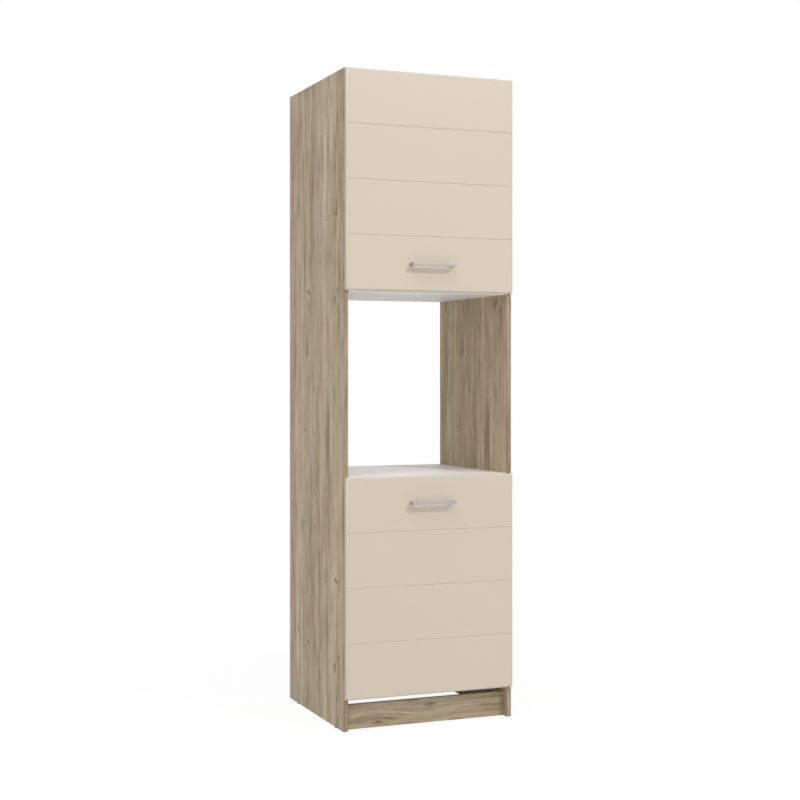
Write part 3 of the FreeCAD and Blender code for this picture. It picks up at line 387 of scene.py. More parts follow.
def oak(name, grain, marks, stripes, shade=1.0):
    """Oak decor: broad stripes, streaks, strokes, fibres, pores, and marks that the grain flows round."""
    values = looks().oak
    finish = Finish(name)
    across, along = grain_place(finish, grain)
    again = along
    if grain == "upright":
        again = finish.sum("WRAP", along, DECOR_END, DECOR_END - DECOR_REPEAT)
    place = finish.join(across, again)
    bent = across
    for u, v, long_half, short_half, _, _, flow in marks:
        if flow:
            reach = tilted_mark(finish, place, (u, v), (FLOW_LONG * long_half, FLOW_WIDE * short_half), 90)
            push = finish.sum("MULTIPLY", finish.sum("SUBTRACT", across, u), finish.sum("MULTIPLY", reach, flow))
            bent = finish.sum("SUBTRACT", bent, push)

    def grain_noise(width, length, detail, shift, roughness=0.55, distortion=0.0, line=None):
        """Noise whose waves are so wide and so long, in metres, from its own part of the noise."""
        vector = finish.join(finish.sum("DIVIDE", bent if line is None else line, width),
                             finish.sum("DIVIDE", along, length), shift)
        return finish.noise(vector, detail, roughness, distortion)

    def centred(value, share):
        return finish.sum("MULTIPLY", finish.sum("SUBTRACT", value, 0.5), share)

    bent = finish.sum("ADD", bent, centred(grain_noise(width=0.16, length=0.42, detail=3.0, shift=2.3), SWAY))

    tone = grain_noise(width=0.045, length=1.30, detail=2.0, shift=3.1)
    streak = grain_noise(values.streak, length=0.42, detail=3.0, shift=7.7, roughness=0.52, distortion=0.35)
    cloud = grain_noise(width=0.036, length=0.15, detail=4.0, shift=21.3, roughness=0.60)
    hair = grain_noise(width=0.0026, length=0.15, detail=3.0, shift=1.3, roughness=0.6)
    fleck = grain_noise(width=0.0044, length=0.075, detail=3.0, shift=13.9, roughness=0.55, distortion=0.2)
    crowd = finish.spread(grain_noise(width=0.045, length=0.20, detail=2.0, shift=41.1), 0.44, 0.60, 0.08, 1.0)
    pore = grain_noise(width=0.0008, length=0.020, detail=2.0, shift=5.9)
    level = finish.sum("ADD", centred(tone, TONE_SHARE), centred(streak, STREAK_SHARE))
    level = finish.sum("ADD", level, centred(cloud, CLOUD_SHARE))
    level = finish.sum("ADD", level, centred(hair, HAIR_SHARE))
    base = finish.mix(finish.spread(level, *DARK_TURN), values.dark, values.middle)
    base = finish.mix(finish.spread(level, *LIGHT_TURN), base, values.light)

    light, warm, green = 1.0, 0.0, 0.0
    for centre, half, lightness, warmth, greenness in stripes:
        away = finish.sum("ABSOLUTE", finish.sum("SUBTRACT", bent, centre))
        inside = finish.spread(away, half * STRIPE_CORE, half, 1.0, 0.0)
        light = finish.sum("ADD", light, finish.sum("MULTIPLY", inside, STRIPE_LIGHT * lightness))
        warm = finish.sum("ADD", warm, finish.sum("MULTIPLY", inside, STRIPE_WARM * warmth))
        green = finish.sum("ADD", green, finish.sum("MULTIPLY", inside, STRIPE_GREEN * greenness))
    drift = grain_noise(width=0.014, length=0.50, detail=2.0, shift=11.3)
    warm = finish.sum("ADD", warm, centred(drift, WARM_DRIFT))
    less_blue = finish.sum("MULTIPLY", warm, BLUE_SHARE)
    tint = finish.join(finish.sum("ADD", light, warm), finish.sum("ADD", light, green),
                       finish.sum("SUBTRACT", light, less_blue))
    base = finish.mix(1.0, base, tint, "MULTIPLY")

    edge_noise = grain_noise(width=0.007, length=0.012, detail=3.0, shift=31.7, roughness=0.6, line=across)
    ragged = centred(edge_noise, RAGGED)
    for u, v, long_half, short_half, slope, dark, _ in marks:
        mark = tilted_mark(finish, place, (u, v), (long_half, short_half), slope, ragged)
        base = finish.mix(finish.sum("MULTIPLY", mark, dark), base, times(values.dark, MARK_TONE))
    strokes = finish.sum("MULTIPLY", finish.spread(fleck, 0.52, 0.68, 0.0, STROKE_SHARE), crowd)
    base = finish.mix(strokes, base, times(values.dark, STROKE_TONE))
    pores = finish.spread(pore, 0.60, 0.72, 0.0, PORE_SHARE)
    base = finish.mix(pores, base, times(values.dark, PORE_TONE))
    # Painted shade: the upright boards darken in a thin line along their lower and rear edges, where shade falls.
    if grain == "upright":
        low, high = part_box("side_panel_left")
        _, y, z = finish.split(finish.object)
        to_edge = finish.sum("MINIMUM", finish.sum("SUBTRACT", z, low.z), finish.sum("SUBTRACT", high.y, y))
        rim = finish.spread(to_edge, 0.0, PAINTED_SHADE_WIDTH, PAINTED_SHADE_SHARE, 0.0)
        base = finish.mix(rim, base, times(values.dark, PAINTED_SHADE_TONE))
    finish.colour(finish.mix(1.0, base, (shade,) * 3, "MULTIPLY") if shade < 1.0 else base)
    relief = finish.sum("SUBTRACT", finish.sum("MULTIPLY", hair, 0.5), finish.sum("MULTIPLY", pores, 1.8))
    finish.bump(relief, distance=0.00012, strength=0.6)
    finish.surface(Roughness=finish.spread(streak, 0.3, 0.7, 0.54, 0.64), Specular_IOR_Level=0.30)
    return finish.material


# Waves per metre of the finer patterns, along X, Y and Z.
FINE = (900.0, 900.0, 900.0)
CAST = (300.0, 300.0, 300.0)
BRUSHED = (60.0, 1500.0, 1500.0)
FLAKES = (420.0, 420.0, 420.0)
FIBRES = (260.0, 260.0, 90.0)
# Tones of the thin backs: bare fibres, and the lacquer on the inside.
FIBRE_DARK, FIBRE_MIDDLE, FIBRE_LIGHT = (0.235, 0.140, 0.075), (0.300, 0.190, 0.105), (0.375, 0.245, 0.140)
LACQUER_DARK, LACQUER_LIGHT = (0.800, 0.790, 0.770), (0.825, 0.815, 0.800)


def white_board(name):
    """White melamine: a fine pearl grain under the least drift in tone."""
    values = looks().boards
    finish = Finish(name)
    cloud = finish.even_noise(scale=7.0)
    pearl = finish.even_noise(scale=900.0)
    finish.colour(finish.mix(finish.spread(cloud, 0.35, 0.65), times(values.white, 0.985), values.white))
    finish.bump(pearl, distance=0.00006, strength=0.5)
    finish.surface(Roughness=finish.spread(pearl, 0.3, 0.7, 0.44, 0.54), Specular_IOR_Level=0.3)
    return finish.material


def chip_core():
    """Raw edge of chipboard: pressed flakes with dark gaps between them."""
    values = looks().boards
    finish = Finish("chipboard_core")
    flakes = finish.vector("MULTIPLY", finish.object, FLAKES)
    flake = finish.node("ShaderNodeTexVoronoi", {"feature": "F1"}, Vector=flakes, Scale=1.0, Randomness=1.0)
    speck = finish.even_noise(scale=300.0, detail=3.0)
    tone = finish.split(flake.outputs["Color"])[0]
    base = finish.mix(tone, times(values.chip, 0.72), times(values.chip, 1.2))
    base = finish.mix(finish.spread(speck, 0.55, 0.7, 0.0, 0.5), base, times(values.chip, 0.45))
    finish.colour(base)
    finish.bump(finish.sum("ADD", tone, speck), distance=0.0004, strength=0.7)
    finish.surface(Roughness=0.85, Specular_IOR_Level=0.2)
    return finish.material


def front_foil(name, shade=1.0):
    """Matt foil pressed over fibreboard: a faint orange-peel and the least drift in tone."""
    values = looks().front
    finish = Finish(name)
    # A shade below 1 darkens the foil; the grooves' bottoms use it as painted shade.
    colour = times(values.colour, shade)
    drift = finish.even_noise(scale=2.2)
    grain = finish.even_noise(scale=700.0, detail=3.0)
    peel = finish.even_noise(scale=110.0, detail=1.0)
    base = finish.mix(finish.spread(drift, 0.3, 0.7), times(colour, 0.988), colour)
    finish.colour(finish.mix(finish.spread(grain, 0.4, 0.6, 0.0, 0.03), base, times(colour, 0.8)))
    relief = finish.sum("ADD", finish.sum("MULTIPLY", grain, 0.35), peel)
    finish.bump(relief, distance=0.00008, strength=0.35)
    finish.surface(Roughness=finish.spread(grain, 0.3, 0.7, 0.44, 0.52), Specular_IOR_Level=0.35)
    return finish.material


def fibreboard_back():
    """Thin back: white lacquer on the inside, bare brown fibres on the side of the wall."""
    finish = Finish("fibre_back")
    normal = finish.node("ShaderNodeTexCoord").outputs["Normal"]
    outside = finish.spread(finish.split(normal)[1], 0.2, 0.6)
    fibre = finish.noise(finish.vector("MULTIPLY", finish.object, FIBRES), detail=5.0, roughness=0.7)
    cloud = finish.even_noise(scale=9.0, detail=3.0)
    brown = finish.mix(finish.spread(fibre, 0.35, 0.65), FIBRE_DARK, FIBRE_LIGHT)
    brown = finish.mix(finish.spread(cloud, 0.35, 0.7, 0.0, 0.35), brown, FIBRE_MIDDLE)
    white = finish.mix(finish.spread(cloud, 0.3, 0.7), LACQUER_DARK, LACQUER_LIGHT)
    finish.colour(finish.mix(outside, white, brown))
    finish.bump(fibre, distance=0.00015, strength=0.5)
    finish.surface(Roughness=finish.spread(outside, 0.0, 1.0, 0.45, 0.8), Specular_IOR_Level=0.3)
    return finish.material


def metal(name, colour, rough, brush, stretch, wear=0.08):
    """Metal with fine lines or grain, whose waves per metre are stretch, and faint cloudy wear."""
    finish = Finish(name)
    lines = finish.noise(finish.vector("MULTIPLY", finish.object, stretch), detail=3.0, roughness=0.6)
    cloud = finish.even_noise(scale=45.0, detail=3.0)
    finish.colour(finish.mix(finish.spread(cloud, 0.35, 0.65), times(colour, 1 - wear), colour))
    finish.bump(lines, distance=0.00004, strength=brush)
    finish.surface(Metallic=1.0, Roughness=finish.spread(lines, 0.3, 0.7, rough - 0.05, rough + 0.05))
    return finish.material


def coated(name, colour, rough, scale=500.0, bumpiness=0.4):
    """Paint or plastic with a fine moulded or sprayed surface."""
    finish = Finish(name)
    grain = finish.even_noise(scale)
    cloud = finish.even_noise(scale=30.0)
    finish.colour(finish.mix(finish.spread(cloud, 0.3, 0.7), times(colour, 0.92), colour))
    finish.bump(grain, distance=0.00005, strength=bumpiness)
    finish.surface(Roughness=finish.spread(grain, 0.3, 0.7, rough - 0.05, rough + 0.05), Specular_IOR_Level=0.4)
    return finish.material


FINISHES = {}


def make_finishes():
    """Every material of the object, by the slot of the record that it stands for."""
    return {
        "oak_board": oak("oak_upright", "upright", SIDE_MARKS, SIDE_STRIPES),
        "oak_edge_band": oak("oak_band", "band", (), (), BAND_SHADE),
        "oak_level": oak("oak_level", "level", PLINTH_MARKS, (), PLINTH_SHADE),
        "white_board": white_board("white_melamine"),
        "white_edge_band": white_board("white_band"),
        "white_back": fibreboard_back(),
        "core": chip_core(),
        "cream_front": front_foil("cream_foil"),
        # The grooves' foil is the cream foil darkened: painted shade.
        "cream_groove_painted_shade": front_foil("cream_foil_groove_painted_shade", GROOVE_PAINTED_SHADE),
        "satin_handle": metal("satin_metal", (0.50, 0.49, 0.475), 0.44, 0.35, BRUSHED, wear=0.03),
        "nickel_hinge": metal("nickel_plate", (0.60, 0.58, 0.55), 0.27, 0.2, FINE),
        "zinc_steel": metal("zinc_steel", (0.58, 0.59, 0.60), 0.34, 0.4, FINE, wear=0.15),
        "zinc_alloy": metal("cast_zinc", (0.50, 0.50, 0.50), 0.45, 0.8, CAST, wear=0.2),
        "strut_paint": coated("strut_paint", (0.40, 0.41, 0.42), 0.38),
        "strut_chrome": metal("strut_chrome", (0.72, 0.72, 0.73), 0.12, 0.1, FINE, wear=0.02),
        "cap_plastic": coated("cap_plastic", (0.33, 0.28, 0.215), 0.5, scale=700.0),
        "glide_plastic": coated("glide_plastic", (0.012, 0.011, 0.010), 0.5),
        "beech_dowel": coated("beech", (0.60, 0.42, 0.26), 0.7, scale=300.0, bumpiness=0.8),
        "bumper_rubber": coated("bumper_rubber", (0.62, 0.62, 0.60), 0.35),
    }


# ---- meshes ----
def block(bm, low, high):
    """Adds a block between two corners and returns its faces."""
    low, high = Vector(low), Vector(high)
    place = Matrix.LocRotScale((low + high) / 2, None, high - low)
    corners = bmesh.ops.create_cube(bm, size=1.0, matrix=place)["verts"]
    return {face for corner in corners for face in corner.link_faces}


def closed_copy(node):
    """The solids of a node with their loose triangles joined."""
    bm = bmesh.new()
    bm.from_mesh(frame["nodes"][node].data)
    bmesh.ops.remove_doubles(bm, verts=bm.verts, dist=MERGE)
    return bm


def merged_copy(node):
    """The solids of a node as closed meshes, flat faces in one piece."""
    bm = closed_copy(node)
    bmesh.ops.dissolve_limit(bm, angle_limit=math.radians(FLAT_ANGLE), verts=bm.verts, edges=bm.edges,
                             use_dissolve_boundaries=False)
    return bm


def island_boxes(node):
    """Lowest and highest corner of each separate solid of a node."""
    bm = closed_copy(node)
    left = set(bm.verts)
    boxes = []
    while left:
        front = [left.pop()]
        solid = set(front)
        while front:
            corner = front.pop()
            for edge in corner.link_edges:
                other = edge.other_vert(corner)
                if other in left:
                    left.discard(other)
                    solid.add(other)
                    front.append(other)
        low = Vector([min(corner.co[axis] for corner in solid) for axis in range(3)])
        high = Vector([max(corner.co[axis] for corner in solid) for axis in range(3)])
        boxes.append((low, high))
    bm.free()
    return sorted(boxes, key=lambda corners: tuple(corners[0]))


def round_edges(bm, edges, radius, segments):
    """Rounds edges to a radius in so many steps."""
    bmesh.ops.bevel(bm, geom=list(edges), offset=radius, offset_type="OFFSET", affect="EDGES", segments=segments,
                    profile=0.5, material=-1, clamp_overlap=True)


def cut_across(bm, axis, place):
    """Divides the whole mesh with a plane square to an axis."""
    normal = Vector((0.0, 0.0, 0.0))
    normal[axis] = 1.0
    bmesh.ops.bisect_plane(bm, geom=bm.verts[:] + bm.edges[:] + bm.faces[:], dist=NEAR / 10,
                           plane_co=normal * place, plane_no=normal)


def is_at(corner, axis, place):
    """True for a corner at a place on an axis."""
    return abs(corner.co[axis] - place) < NEAR


def edge_at(edge, axis, place):
    """True for an edge that lies at a place on an axis."""
    return all(is_at(corner, axis, place) for corner in edge.verts)


def runs_along(edge, axis):
    """True for an edge that runs along an axis."""
    way = edge.verts[1].co - edge.verts[0].co
    return abs(way[axis]) > STRAIGHT * way.length


def is_sharp(edge):
    """True for an edge where two faces meet at more than SHARP_ANGLE."""
    return len(edge.link_faces) == 2 and edge.calc_face_angle(0.0) > math.radians(SHARP_ANGLE)


def coat(bm, axis, banded=()):
    """First finish on a board's broad faces, square to the axis, and its banded edges, second on its raw edges."""
    for face in bm.faces:
        broad = abs(face.normal[axis]) > FACING
        on_band = any(face.normal[way] * sign > FACING for way, sign in banded)
        face.material_index = 0 if broad or on_band else 1


def piece(name, bm, finishes, node, recalculate=True, sharp=SHADE_ANGLE):
    """Finished object that stands for a CAD node, rides on its body and takes the given finishes."""
    if recalculate:
        bmesh.ops.recalc_face_normals(bm, faces=bm.faces)
    for face in bm.faces:
        face.smooth = True
    mesh = bpy.data.meshes.new(name)
    bm.to_mesh(mesh)
    bm.free()
    for finish in finishes:
        mesh.materials.append(FINISHES[finish])
    mesh.set_sharp_from_angle(angle=math.radians(sharp))
    made = bpy.data.objects.new(name, mesh)
    bpy.context.scene.collection.objects.link(made)
    even = made.modifiers.new("even_shading", "WEIGHTED_NORMAL")
    even.keep_sharp = True
    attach(made, BODY[node])
    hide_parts(node)
    return made


def eased(node, finishes, radius, shortest, axis=None, banded=(), keep=None):
    """Copy of a node whose longer sharp edges are rounded, apart from those that keep is true for."""
    bm = merged_copy(node)
    if axis is not None:
        coat(bm, axis, banded)
    edges = [edge for edge in bm.edges
             if is_sharp(edge) and edge.calc_length() > shortest and not (keep and keep(edge))]
    round_edges(bm, edges, radius, EDGE_STEPS)
    return piece(node + "_finished", bm, finishes, node, recalculate=False)


# ---- pieces ----
def side_panel(node):
    """Oak decor on both broad faces; the edge towards the band stays sharp, the others are raw."""
    bm = bmesh.new()
    low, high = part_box(node)
    block(bm, low, high)
    bmesh.ops.recalc_face_normals(bm, faces=bm.faces)
    coat(bm, X)
    edges = [edge for edge in bm.edges if not edge_at(edge, Y, low.y)]
    round_edges(bm, edges, looks().boards.edge_radius, EDGE_STEPS)
    piece(node + "_board", bm, ("oak_board", "core"), node)


def bands(node, finish):
    """Edge bands with their outer edges rounded."""
    bm = bmesh.new()
    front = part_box(node)[0].y
    for low, high in island_boxes(node):
        block(bm, low, high)
    edges = [edge for edge in bm.edges if edge_at(edge, Y, front) and not runs_along(edge, Y)]
    round_edges(bm, edges, looks().boards.band_radius, BAND_STEPS)
    piece(node + "_strips", bm, (finish,), node)


def cross_board(node, finish):
    """Upright board between the sides: broad faces to the front and the back."""
    bm = bmesh.new()
    low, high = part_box(node)
    block(bm, low, high)
    bmesh.ops.recalc_face_normals(bm, faces=bm.faces)
    coat(bm, Y)
    round_edges(bm, bm.edges[:], looks().boards.edge_radius, EDGE_STEPS)
    piece(node + "_board", bm, (finish, "core"), node)


def groove_levels(low, high, count):
    """Levels that divide a front evenly."""
    return [low + (high - low) * (step + 1) / (count + 1) for step in range(count)]


def press_grooves(bm, low, high):
    """Divides a front along its grooves and presses them into its face."""
    values = looks().front
    half = values.groove_width / 2
    levels = groove_levels(low.z, high.z, values.grooves)
    depths = []
    for level in levels:
        for side in (-1, 1):
            for across, down in GROOVE_SECTION:
                if side > 0 or across:
                    depths.append((level + side * across * half, down * values.groove_depth))
    for level, _ in depths:
        cut_across(bm, Z, level)
    for corner in bm.verts:
        for level, depth in depths:
            if is_at(corner, Z, level) and corner.co.y < low.y + values.edge_radius:
                corner.co.y = max(corner.co.y, low.y + depth)
    # Faces at a groove's bottom take the darker foil: painted shade where shade falls in the groove.
    deepest = low.y + values.groove_depth * GROOVE_PAST
    for face in bm.faces:
        middle = face.calc_center_median()
        if middle.y < deepest and any(abs(middle.z - level) < half * GROOVE_CORE for level in levels):
            face.material_index = 2


def front(node):
    """Pressed front: rounded rim, level V grooves with painted shade at their bottoms, foil in front and white
    melamine behind.
    """
    finishes = ("cream_front", "white_board", "cream_groove_painted_shade")
    bm = bmesh.new()
    low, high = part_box(node)
    block(bm, low, high)
    bmesh.ops.recalc_face_normals(bm, faces=bm.faces)
    for face in bm.faces:
        face.material_index = 1 if face.normal.y > FACING else 0
    face_edges = [edge for edge in bm.edges if edge_at(edge, Y, low.y)]
    round_edges(bm, face_edges, looks().front.edge_radius, FRONT_STEPS)
    back_edges = [edge for edge in bm.edges if edge_at(edge, Y, high.y)]
    round_edges(bm, back_edges, looks().boards.edge_radius, EDGE_STEPS)
    press_grooves(bm, low, high)
    return piece(node + "_pressed", bm, finishes, node, sharp=FRONT_SHADE_ANGLE)


def cut_pockets(panel, places, radius, depth_at, open_at):
    """Bores round pockets along Y into a finished piece."""
    bm = bmesh.new()
    for middle in places:
        centre = Vector((middle.x, (depth_at + open_at) / 2, middle.z))
        place = Matrix.LocRotScale(centre, Matrix.Rotation(math.radians(90.0), 3, "X"), None)
        bmesh.ops.create_cone(bm, cap_ends=True, segments=POCKET_STEPS, radius1=radius, radius2=radius,
                              depth=open_at - depth_at, matrix=place)
    mesh = bpy.data.meshes.new("cutter")
    bm.to_mesh(mesh)
    bm.free()
    mesh.materials.append(FINISHES["core"])
    cutter = bpy.data.objects.new("cutter", mesh)
    bpy.context.scene.collection.objects.link(cutter)
    bore = panel.modifiers.new("pockets", "BOOLEAN")
    bore.object = cutter
    bore.solver = "EXACT"
    bore.material_mode = "TRANSFER"
    panel.modifiers.move(len(panel.modifiers) - 1, 0)
    with bpy.context.temp_override(object=panel, active_object=panel, selected_objects=[panel]):
        bpy.ops.object.modifier_apply(modifier=bore.name)
    bpy.data.objects.remove(cutter)
    bpy.data.meshes.remove(mesh)


def handle(node):
    """Bow of square bar whose two legs stand on the front."""
    values = looks().handle
    low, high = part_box(node)
    back = low.y + values.bar
    inner = (low.x + values.bar, high.x - values.bar)
    bm = bmesh.new()
    block(bm, low, (high.x, back, high.z))
    for place in inner:
        cut_across(bm, X, place)
    bm.normal_update()
    feet = [face for face in bm.faces if all(is_at(corner, Y, back) for corner in face.verts)
            and not inner[0] < face.calc_center_median().x < inner[1]]
    raised = bmesh.ops.extrude_discrete_faces(bm, faces=feet)["faces"]
    for face in raised:
        bmesh.ops.translate(bm, vec=(0.0, high.y - back, 0.0), verts=face.verts)
    bmesh.ops.remove_doubles(bm, verts=bm.verts, dist=NEAR)
    bmesh.ops.recalc_face_normals(bm, faces=bm.faces)
    outer = [edge for edge in bm.edges if runs_along(edge, Z) and edge_at(edge, Y, low.y)
             and (edge_at(edge, X, low.x) or edge_at(edge, X, high.x))]
    round_edges(bm, outer, values.corner, CORNER_STEPS)
    throat = [edge for edge in bm.edges if runs_along(edge, Z) and edge_at(edge, Y, back)
              and any(edge_at(edge, X, place) for place in inner)]
    round_edges(bm, throat, values.throat, THROAT_STEPS)
    rim = [edge for edge in bm.edges if is_sharp(edge) and not edge_at(edge, Y, high.y)
           and (edge_at(edge, Z, low.z) or edge_at(edge, Z, high.z))]
    round_edges(bm, rim, values.edge, BAR_STEPS)
    piece(node + "_bow", bm, ("satin_handle",), node)


def caps(node):
    """Low domed caps over the screw heads, turned about the level axis that they sit on."""
    bm = bmesh.new()
    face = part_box("side_panel_right")[1].x
    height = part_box(node)[1].x - face
    for low, high in island_boxes(node):
        side = 1.0 if low.x > 0.0 else -1.0
        centre = (low + high) / 2
        radius = (high.z - low.z) / 2
        profile = [bm.verts.new((side * (face + share * height), centre.y + across * radius, centre.z))
                   for across, share in CAP_SECTION]
        edges = [bm.edges.new(pair) for pair in zip(profile, profile[1:])]
        bmesh.ops.spin(bm, geom=profile + edges, cent=(0.0, centre.y, centre.z), axis=(1.0, 0.0, 0.0),
                       angle=math.radians(360.0), steps=CAP_STEPS, use_merge=True)
    bmesh.ops.remove_doubles(bm, verts=bm.verts, dist=NEAR / 5)
    rims = [edge for edge in bm.edges if len(edge.link_faces) == 1]
    bmesh.ops.holes_fill(bm, edges=rims, sides=0)
    piece(node + "_domed", bm, ("cap_plastic",), node)


# ---- floor, light and ground ----
def lamp(name, place, size, power):
    """Square lamp that looks at the middle of the object."""
    data = bpy.data.lights.new(name, "AREA")
    data.shape = "SQUARE"
    data.size = size
    data.energy = power
    holder = bpy.data.objects.new(name, data)
    holder.location = place
    holder.rotation_euler = (Vector(LAMP_TARGET) - Vector(place)).to_track_quat("-Z", "Y").to_euler()
    bpy.context.scene.collection.objects.link(holder)


def seen_directly(tree):
    """1 for rays from the camera, from gloss and through glass, so that these show a white ground."""
    path = tree.nodes.new("ShaderNodeLightPath")
    total = path.outputs["Is Camera Ray"]
    for name in ("Is Glossy Ray", "Is Transmission Ray"):
        step = tree.nodes.new("ShaderNodeMath")
        step.operation = "MAXIMUM"
        tree.links.new(total, step.inputs[0])
        tree.links.new(path.outputs[name], step.inputs[1])
        total = step.outputs[0]
    return total


def white_world(ambient):
    """White ground whose light on the object has the ambient strength."""
    world = bpy.data.worlds.new("studio")
    bpy.context.scene.world = world
    world.use_nodes = True
    tree = world.node_tree
    tree.nodes.clear()
    grounds = []
    for strength in (ambient, 1.0):
        ground = tree.nodes.new("ShaderNodeBackground")
        ground.inputs["Color"].default_value = (1.0, 1.0, 1.0, 1.0)
        ground.inputs["Strength"].default_value = strength
        grounds.append(ground)
    mix = tree.nodes.new("ShaderNodeMixShader")
    tree.links.new(seen_directly(tree), mix.inputs[0])
    for ground, socket in zip(grounds, (mix.inputs[1], mix.inputs[2])):
        tree.links.new(ground.outputs[0], socket)
    out = tree.nodes.new("ShaderNodeOutputWorld")
    tree.links.new(mix.outputs[0], out.inputs[0])


def white_floor():
    """Pale floor that shows white, keeps a soft part of the object's shadow near by and fades into the ground."""
    bm = bmesh.new()
    bmesh.ops.create_grid(bm, x_segments=4, y_segments=4, size=FLOOR_HALF)
    mesh = bpy.data.meshes.new("studio_floor")
    bm.to_mesh(mesh)
    bm.free()
    floor = bpy.data.objects.new("studio_floor", mesh)
    bpy.context.scene.collection.objects.link(floor)
    finish = Finish("studio_floor")
    finish.colour(FLOOR_TONE)
    finish.surface(Roughness=0.9)
    glow = finish.node("ShaderNodeEmission", Strength=FLOOR_GLOW)
    fade = finish.spread(finish.vector("LENGTH", finish.object), FLOOR_NEAR, FLOOR_FAR, FLOOR_SHARE, 1.0)
    share = finish.sum("MULTIPLY", seen_directly(finish.tree), fade)
    mix = finish.tree.nodes.new("ShaderNodeMixShader")
    finish.feed(mix.inputs[0], share)
    finish.feed(mix.inputs[1], finish.shader.outputs[0])
    finish.feed(mix.inputs[2], glow.outputs[0])
    finish.feed(finish.tree.nodes["Material Output"].inputs[0], mix.outputs[0])
    mesh.materials.append(finish.material)


# ---- operators ----
class HOUSING_OT_finishes(bpy.types.Operator):
    """Make the materials and give them to the carried-over nodes"""
    bl_idname = "housing.finishes"
    bl_label = "Finishes"

    def execute(self, context):
        FINISHES.update(make_finishes())
        for node, item in frame["nodes"].items():
            item.data.materials.clear()
            item.data.materials.append(FINISHES[SLOT[node]])
        return {"FINISHED"}


class HOUSING_OT_carcass(bpy.types.Operator):
    """Make the side panels, level boards, rails, plinths and edge bands"""
    bl_idname = "housing.carcass"
    bl_label = "Carcass"

    def execute(self, context):
        radius = looks().boards.edge_radius
        for node in ("side_panel_left", "side_panel_right"):
            side_panel(node)
        bands("side_edge_bands", "oak_edge_band")
        bands("board_edge_bands", "white_edge_band")
        bands("shelf_edge_band", "white_edge_band")
        for node in ("plinth_front", "plinth_rear"):
            cross_board(node, "oak_level")
        for node in ("rail_under_niche", "rail_behind_drawer"):
            cross_board(node, "white_board")
        for node in ("bottom_panel", "niche_floor", "niche_ceiling", "top_panel", "upper_shelf"):
            edge_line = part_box(node)[0].y
            eased(node, ("white_board", "core"), radius, BOARD_EDGE_LENGTH, axis=Z,
                  keep=lambda edge: edge_at(edge, Y, edge_line))
        return {"FINISHED"}


class HOUSING_OT_fronts(bpy.types.Operator):
    """Make the lift-up flap and the front of the pull-out"""
    bl_idname = "housing.fronts"
    bl_label = "Fronts"

    def execute(self, context):
        front("lower_front")
        flap = front("upper_flap")
        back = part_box("upper_flap")[1].y
        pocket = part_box("hinge_cups")[0].y
        cups = island_boxes("hinge_cups")
        radius = (cups[0][1].z - cups[0][0].z) / 2 + NEAR
        cut_pockets(flap, [(low + high) / 2 for low, high in cups], radius, pocket - NEAR, back + POCKET_PAST)
        return {"FINISHED"}


class HOUSING_OT_handles(bpy.types.Operator):
    """Make the two bow handles"""
    bl_idname = "housing.handles"
    bl_label = "Handles"

    def execute(self, context):
        handle("upper_handle")
        handle("lower_handle")
        return {"FINISHED"}


class HOUSING_OT_caps(bpy.types.Operator):
    """Make the cover caps on the sides"""
    bl_idname = "housing.caps"
    bl_label = "Cover caps"

    def execute(self, context):
        caps("cover_caps")
        return {"FINISHED"}


class HOUSING_OT_drawer(bpy.types.Operator):
    """Make the box of the pull-out"""
    bl_idname = "housing.drawer"
    bl_label = "Drawer box"

    def execute(self, context):
        radius = looks().boards.edge_radius
        top = ((Z, 1),)
        for node, axis in (("drawer_side_left", X), ("drawer_side_right", X), ("drawer_front_board", Y),
                           ("drawer_back_board", Y), ("drawer_bottom", Z)):
            eased(node, ("white_board", "core"), radius, BOARD_EDGE_LENGTH, axis, banded=top)
        return {"FINISHED"}


class HOUSING_OT_fittings(bpy.types.Operator):
    """Round the edges of hinges, struts, runners and brackets"""
    bl_idname = "housing.fittings"
    bl_label = "Fittings"

    def execute(self, context):
        ease = looks().fittings.ease
        for node in SOFT_FITTINGS:
            eased(node, (SLOT[node],), ease, METAL_EDGE_LENGTH)
        return {"FINISHED"}


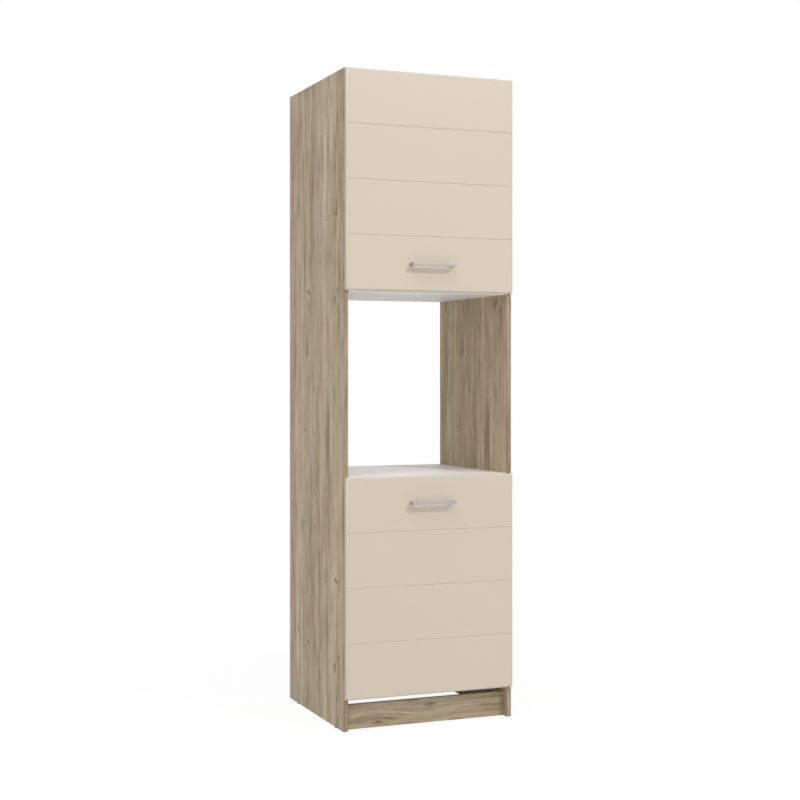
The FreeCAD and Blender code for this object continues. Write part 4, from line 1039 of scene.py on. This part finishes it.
class HOUSING_OT_stage(bpy.types.Operator):
    """Set up the floor, the light and the camera at the photograph's angle"""
    bl_idname = "housing.stage"
    bl_label = "Stage"

    def execute(self, context):
        values = looks().stage
        white_world(values.ambient)
        white_floor()
        lamp("key_lamp", KEY_PLACE, KEY_SIZE, values.key)
        lamp("sky_lamp", SKY_PLACE, SKY_SIZE, values.sky)
        data = bpy.data.cameras.new("photo_view")
        data.sensor_width = SENSOR
        data.lens = values.lens
        data.shift_y = -HORIZON_RISE / FRAME_SIZE
        camera = bpy.data.objects.new("photo_view", data)
        camera.location = CAMERA_PLACE
        camera.rotation_euler = (math.radians(90.0), 0.0, CAMERA_TURN)
        context.scene.collection.objects.link(camera)
        context.scene.camera = camera
        context.scene.view_settings.view_transform = "Standard"
        return {"FINISHED"}


class HousingLooks(bpy.types.PropertyGroup):
    oak: bpy.props.PointerProperty(type=HousingOak, name="Oak", description="The oak decor")
    front: bpy.props.PointerProperty(type=HousingFront, name="Fronts", description="The two fronts")
    handle: bpy.props.PointerProperty(type=HousingHandle, name="Handles", description="The two handles")
    boards: bpy.props.PointerProperty(type=HousingBoards, name="Boards", description="The boards")
    fittings: bpy.props.PointerProperty(type=HousingFittings, name="Fittings", description="The metal fittings")
    stage: bpy.props.PointerProperty(type=HousingStage, name="Stage", description="Light and camera")


SOFT_FITTINGS = (
    "hinge_arms", "hinge_plates", "hinge_cups", "strut_side_brackets", "strut_flap_brackets", "strut_tube_left",
    "strut_tube_right", "strut_rod_left", "strut_rod_right", "wall_brackets", "cam_discs", "runner_outer_members",
    "runner_inner_members", "runner_middle_left", "runner_middle_right",
)

OPERATORS = (
    HOUSING_OT_finishes, HOUSING_OT_carcass, HOUSING_OT_fronts, HOUSING_OT_handles, HOUSING_OT_caps,
    HOUSING_OT_drawer, HOUSING_OT_fittings, HOUSING_OT_stage,
)


class HOUSING_PT_panel(bpy.types.Panel):
    """Lists the steps"""
    bl_idname = "HOUSING_PT_panel"
    bl_label = "Oven housing"
    bl_space_type = "VIEW_3D"
    bl_region_type = "UI"
    bl_category = "Oven housing"

    def draw(self, context):
        for operator in OPERATORS:
            self.layout.operator(operator.bl_idname)


CLASSES = (
    HousingOak, HousingFront, HousingHandle, HousingBoards, HousingFittings, HousingStage, HousingLooks,
    *OPERATORS, HOUSING_PT_panel,
)


def register():
    for item in CLASSES:
        bpy.utils.register_class(item)
    bpy.types.Scene.oven_housing = bpy.props.PointerProperty(type=HousingLooks)


def unregister():
    del bpy.types.Scene.oven_housing
    for item in reversed(CLASSES):
        bpy.utils.unregister_class(item)


def main():
    register()
    for step in ("finishes", "carcass", "fronts", "handles", "caps", "drawer", "fittings", "stage"):
        getattr(bpy.ops.housing, step)()


if __name__ == "__main__":
    main()
